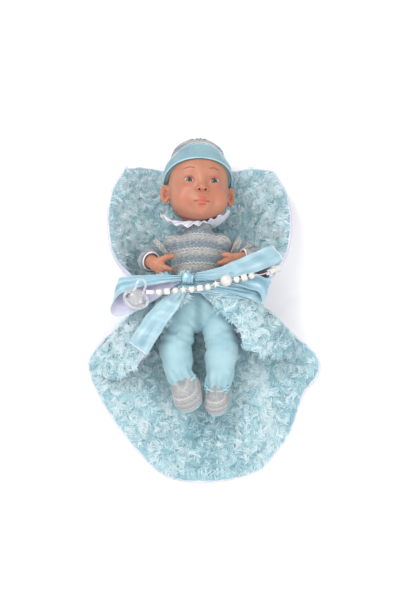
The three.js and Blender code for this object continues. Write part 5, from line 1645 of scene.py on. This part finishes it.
def knot():
    """The folded knot: a short wide wrap of ribbon with three drawn-in creases."""
    a = once_round(96)
    s = np.linspace(-1, 1, 40)[:, None]
    lean = math.radians(-8)
    fold = 0.75 * np.sin(s * 7.5 + 0.7 * np.sin(a * 2)[None]) + 0.35 * np.sin(s * 15 + 1.4)
    belly = 1 - 0.2 * s**2
    along = 7.9 * s
    up = (7.7 * belly + fold) * np.sin(a)[None]
    out = (4.3 * belly + fold * 0.7) * np.cos(a)[None]
    x = along * math.cos(lean) - up * math.sin(lean)
    y = along * math.sin(lean) + up * math.cos(lean)
    grid = np.stack([x, y, out], -1) + KNOT
    points, faces = capped(grid)
    uv = uv_of(a[None] * 8, along)
    piece("ribbon_knot_satin", points, faces, SATIN, "torso", "satin", ["ribbon_knot"], uv=uv)


def loops():
    for side, rows in LOOP.items():
        paints = [SATIN, SATIN_INSIDE if side == "right" else SATIN]
        cloth, grid, size = ribbon_sheet(f"loop_{side}_satin", rows, paints, f"ribbon_loop_{side}", "torso")
        edges = [selvage(f"loop_{side}_edge_{k}", grid[:, at], "torso") for k, at in ((1, 0), (2, -1))]


def tails():
    for side, tail in TAIL.items():
        line = np.array(tail["line"], float)
        way = unit(np.gradient(line, axis=0))
        across = unit(np.cross(way, (0.05, 0.05, 1)))
        half = np.array(tail["half"], float)[:, None]
        sag = np.array([0, 0, 1.5]) * (half / 16)
        rows = np.stack([line - across * half - sag, line + across * half - sag], 1)
        cloth, grid, size = ribbon_sheet(f"tail_{side}_satin", rows, [SHEER, SATIN_INSIDE],
                                         f"ribbon_tail_{side}", None, pleats=1.0, thick=0.2)
        edges = [selvage(f"tail_{side}_edge_{k}", grid[:, at], None) for k, at in ((1, 0), (2, -1))]
        edges.append(tube_piece(f"tail_{side}_end", grid[-1], 0.7, ORGANZA_EDGE, sides=8, slot="satin"))
        for made in [cloth, *edges]:
            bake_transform(made)


band()
knot()
loops()
tails()


# ---- pacifier: clear moulded parts ----

def at_pacifier(points):
    """Points of the pacifier's own axes put in the frame."""
    x, y, z = (Matrix.Rotation(angle, 3, axis) for angle, axis in zip(PACIFIER["turn"], "XYZ"))
    return np.asarray(points) @ np.array(z @ y @ x).T + PACIFIER["at"]


def lathe(profile):
    """A round solid from (radius, height) points, smoothed."""
    line = spline(np.array([(r, h, 0) for r, h in profile], float), 6)[:, :2]
    a = once_round(64)
    ring = np.broadcast_arrays(line[:, :1] * np.cos(a), line[:, :1] * np.sin(a), line[:, 1:])
    return capped(np.stack(ring, -1))


def pacifier():
    def shield(p):
        dome = 0.0045 * (p[..., 0] ** 2 + 1.6 * p[..., 1] ** 2)
        level = p[..., 2] + dome - 0.2
        flat = (np.hypot(p[..., 0] / 19, p[..., 1] / 14.5) - 1) * 15
        d = melt(np.maximum(flat, np.abs(level) - 1.1), np.maximum(flat + 0.8, np.abs(level) - 1.5), 0.8)
        rim = np.hypot(flat + 1.2, level - 0.3) - 1.5
        d = melt(d, rim, 1.2)
        m = mirrored(p)
        vent = (np.hypot((m[..., 0] - 12.5) / 2.6, p[..., 1] / 4) - 1) * 3
        return carve(d, vent, 0.8)

    points, faces = skin_of(shield, (-23, -19, -5), (23, 19, 5), 0.6)
    piece("pacifier_plate", at_pacifier(points), faces, CLEAR, "torso", "clear_plastic", ["pacifier_shield"])
    dome = [(11, 1.2), (11.3, 2.0), (11.0, 3.4), (9.8, 5.6), (7.4, 7.0), (4.0, 7.9), (1.6, 8.2), (0.3, 8.3)]
    points, faces = lathe(dome)
    piece("pacifier_button", at_pacifier(points), faces, CLEAR, "torso", "clear_plastic", ["pacifier_knob"])
    size, reach = PACIFIER["ring"], 22
    legs = [(-size, 0, 0), (-size, reach * 0.5, 0), (-size, reach, 0)]
    turns = [(-size * math.cos(t), reach + size * math.sin(t), 0) for t in np.linspace(0.3, math.pi - 0.3, 9)]
    line = np.array(legs + turns + [(size, reach, 0), (size, reach * 0.5, 0), (size, 0, 0)], float)
    line[:, 2] = PACIFIER["pin_z"]
    wire = tube(spline(line, 8), PACIFIER["wire"], 16)
    points, faces = capped(wire)
    piece("pacifier_handle", at_pacifier(points), faces, CLEAR, "pacifier_ring", "clear_plastic",
          ["pacifier_ring"])


pacifier()
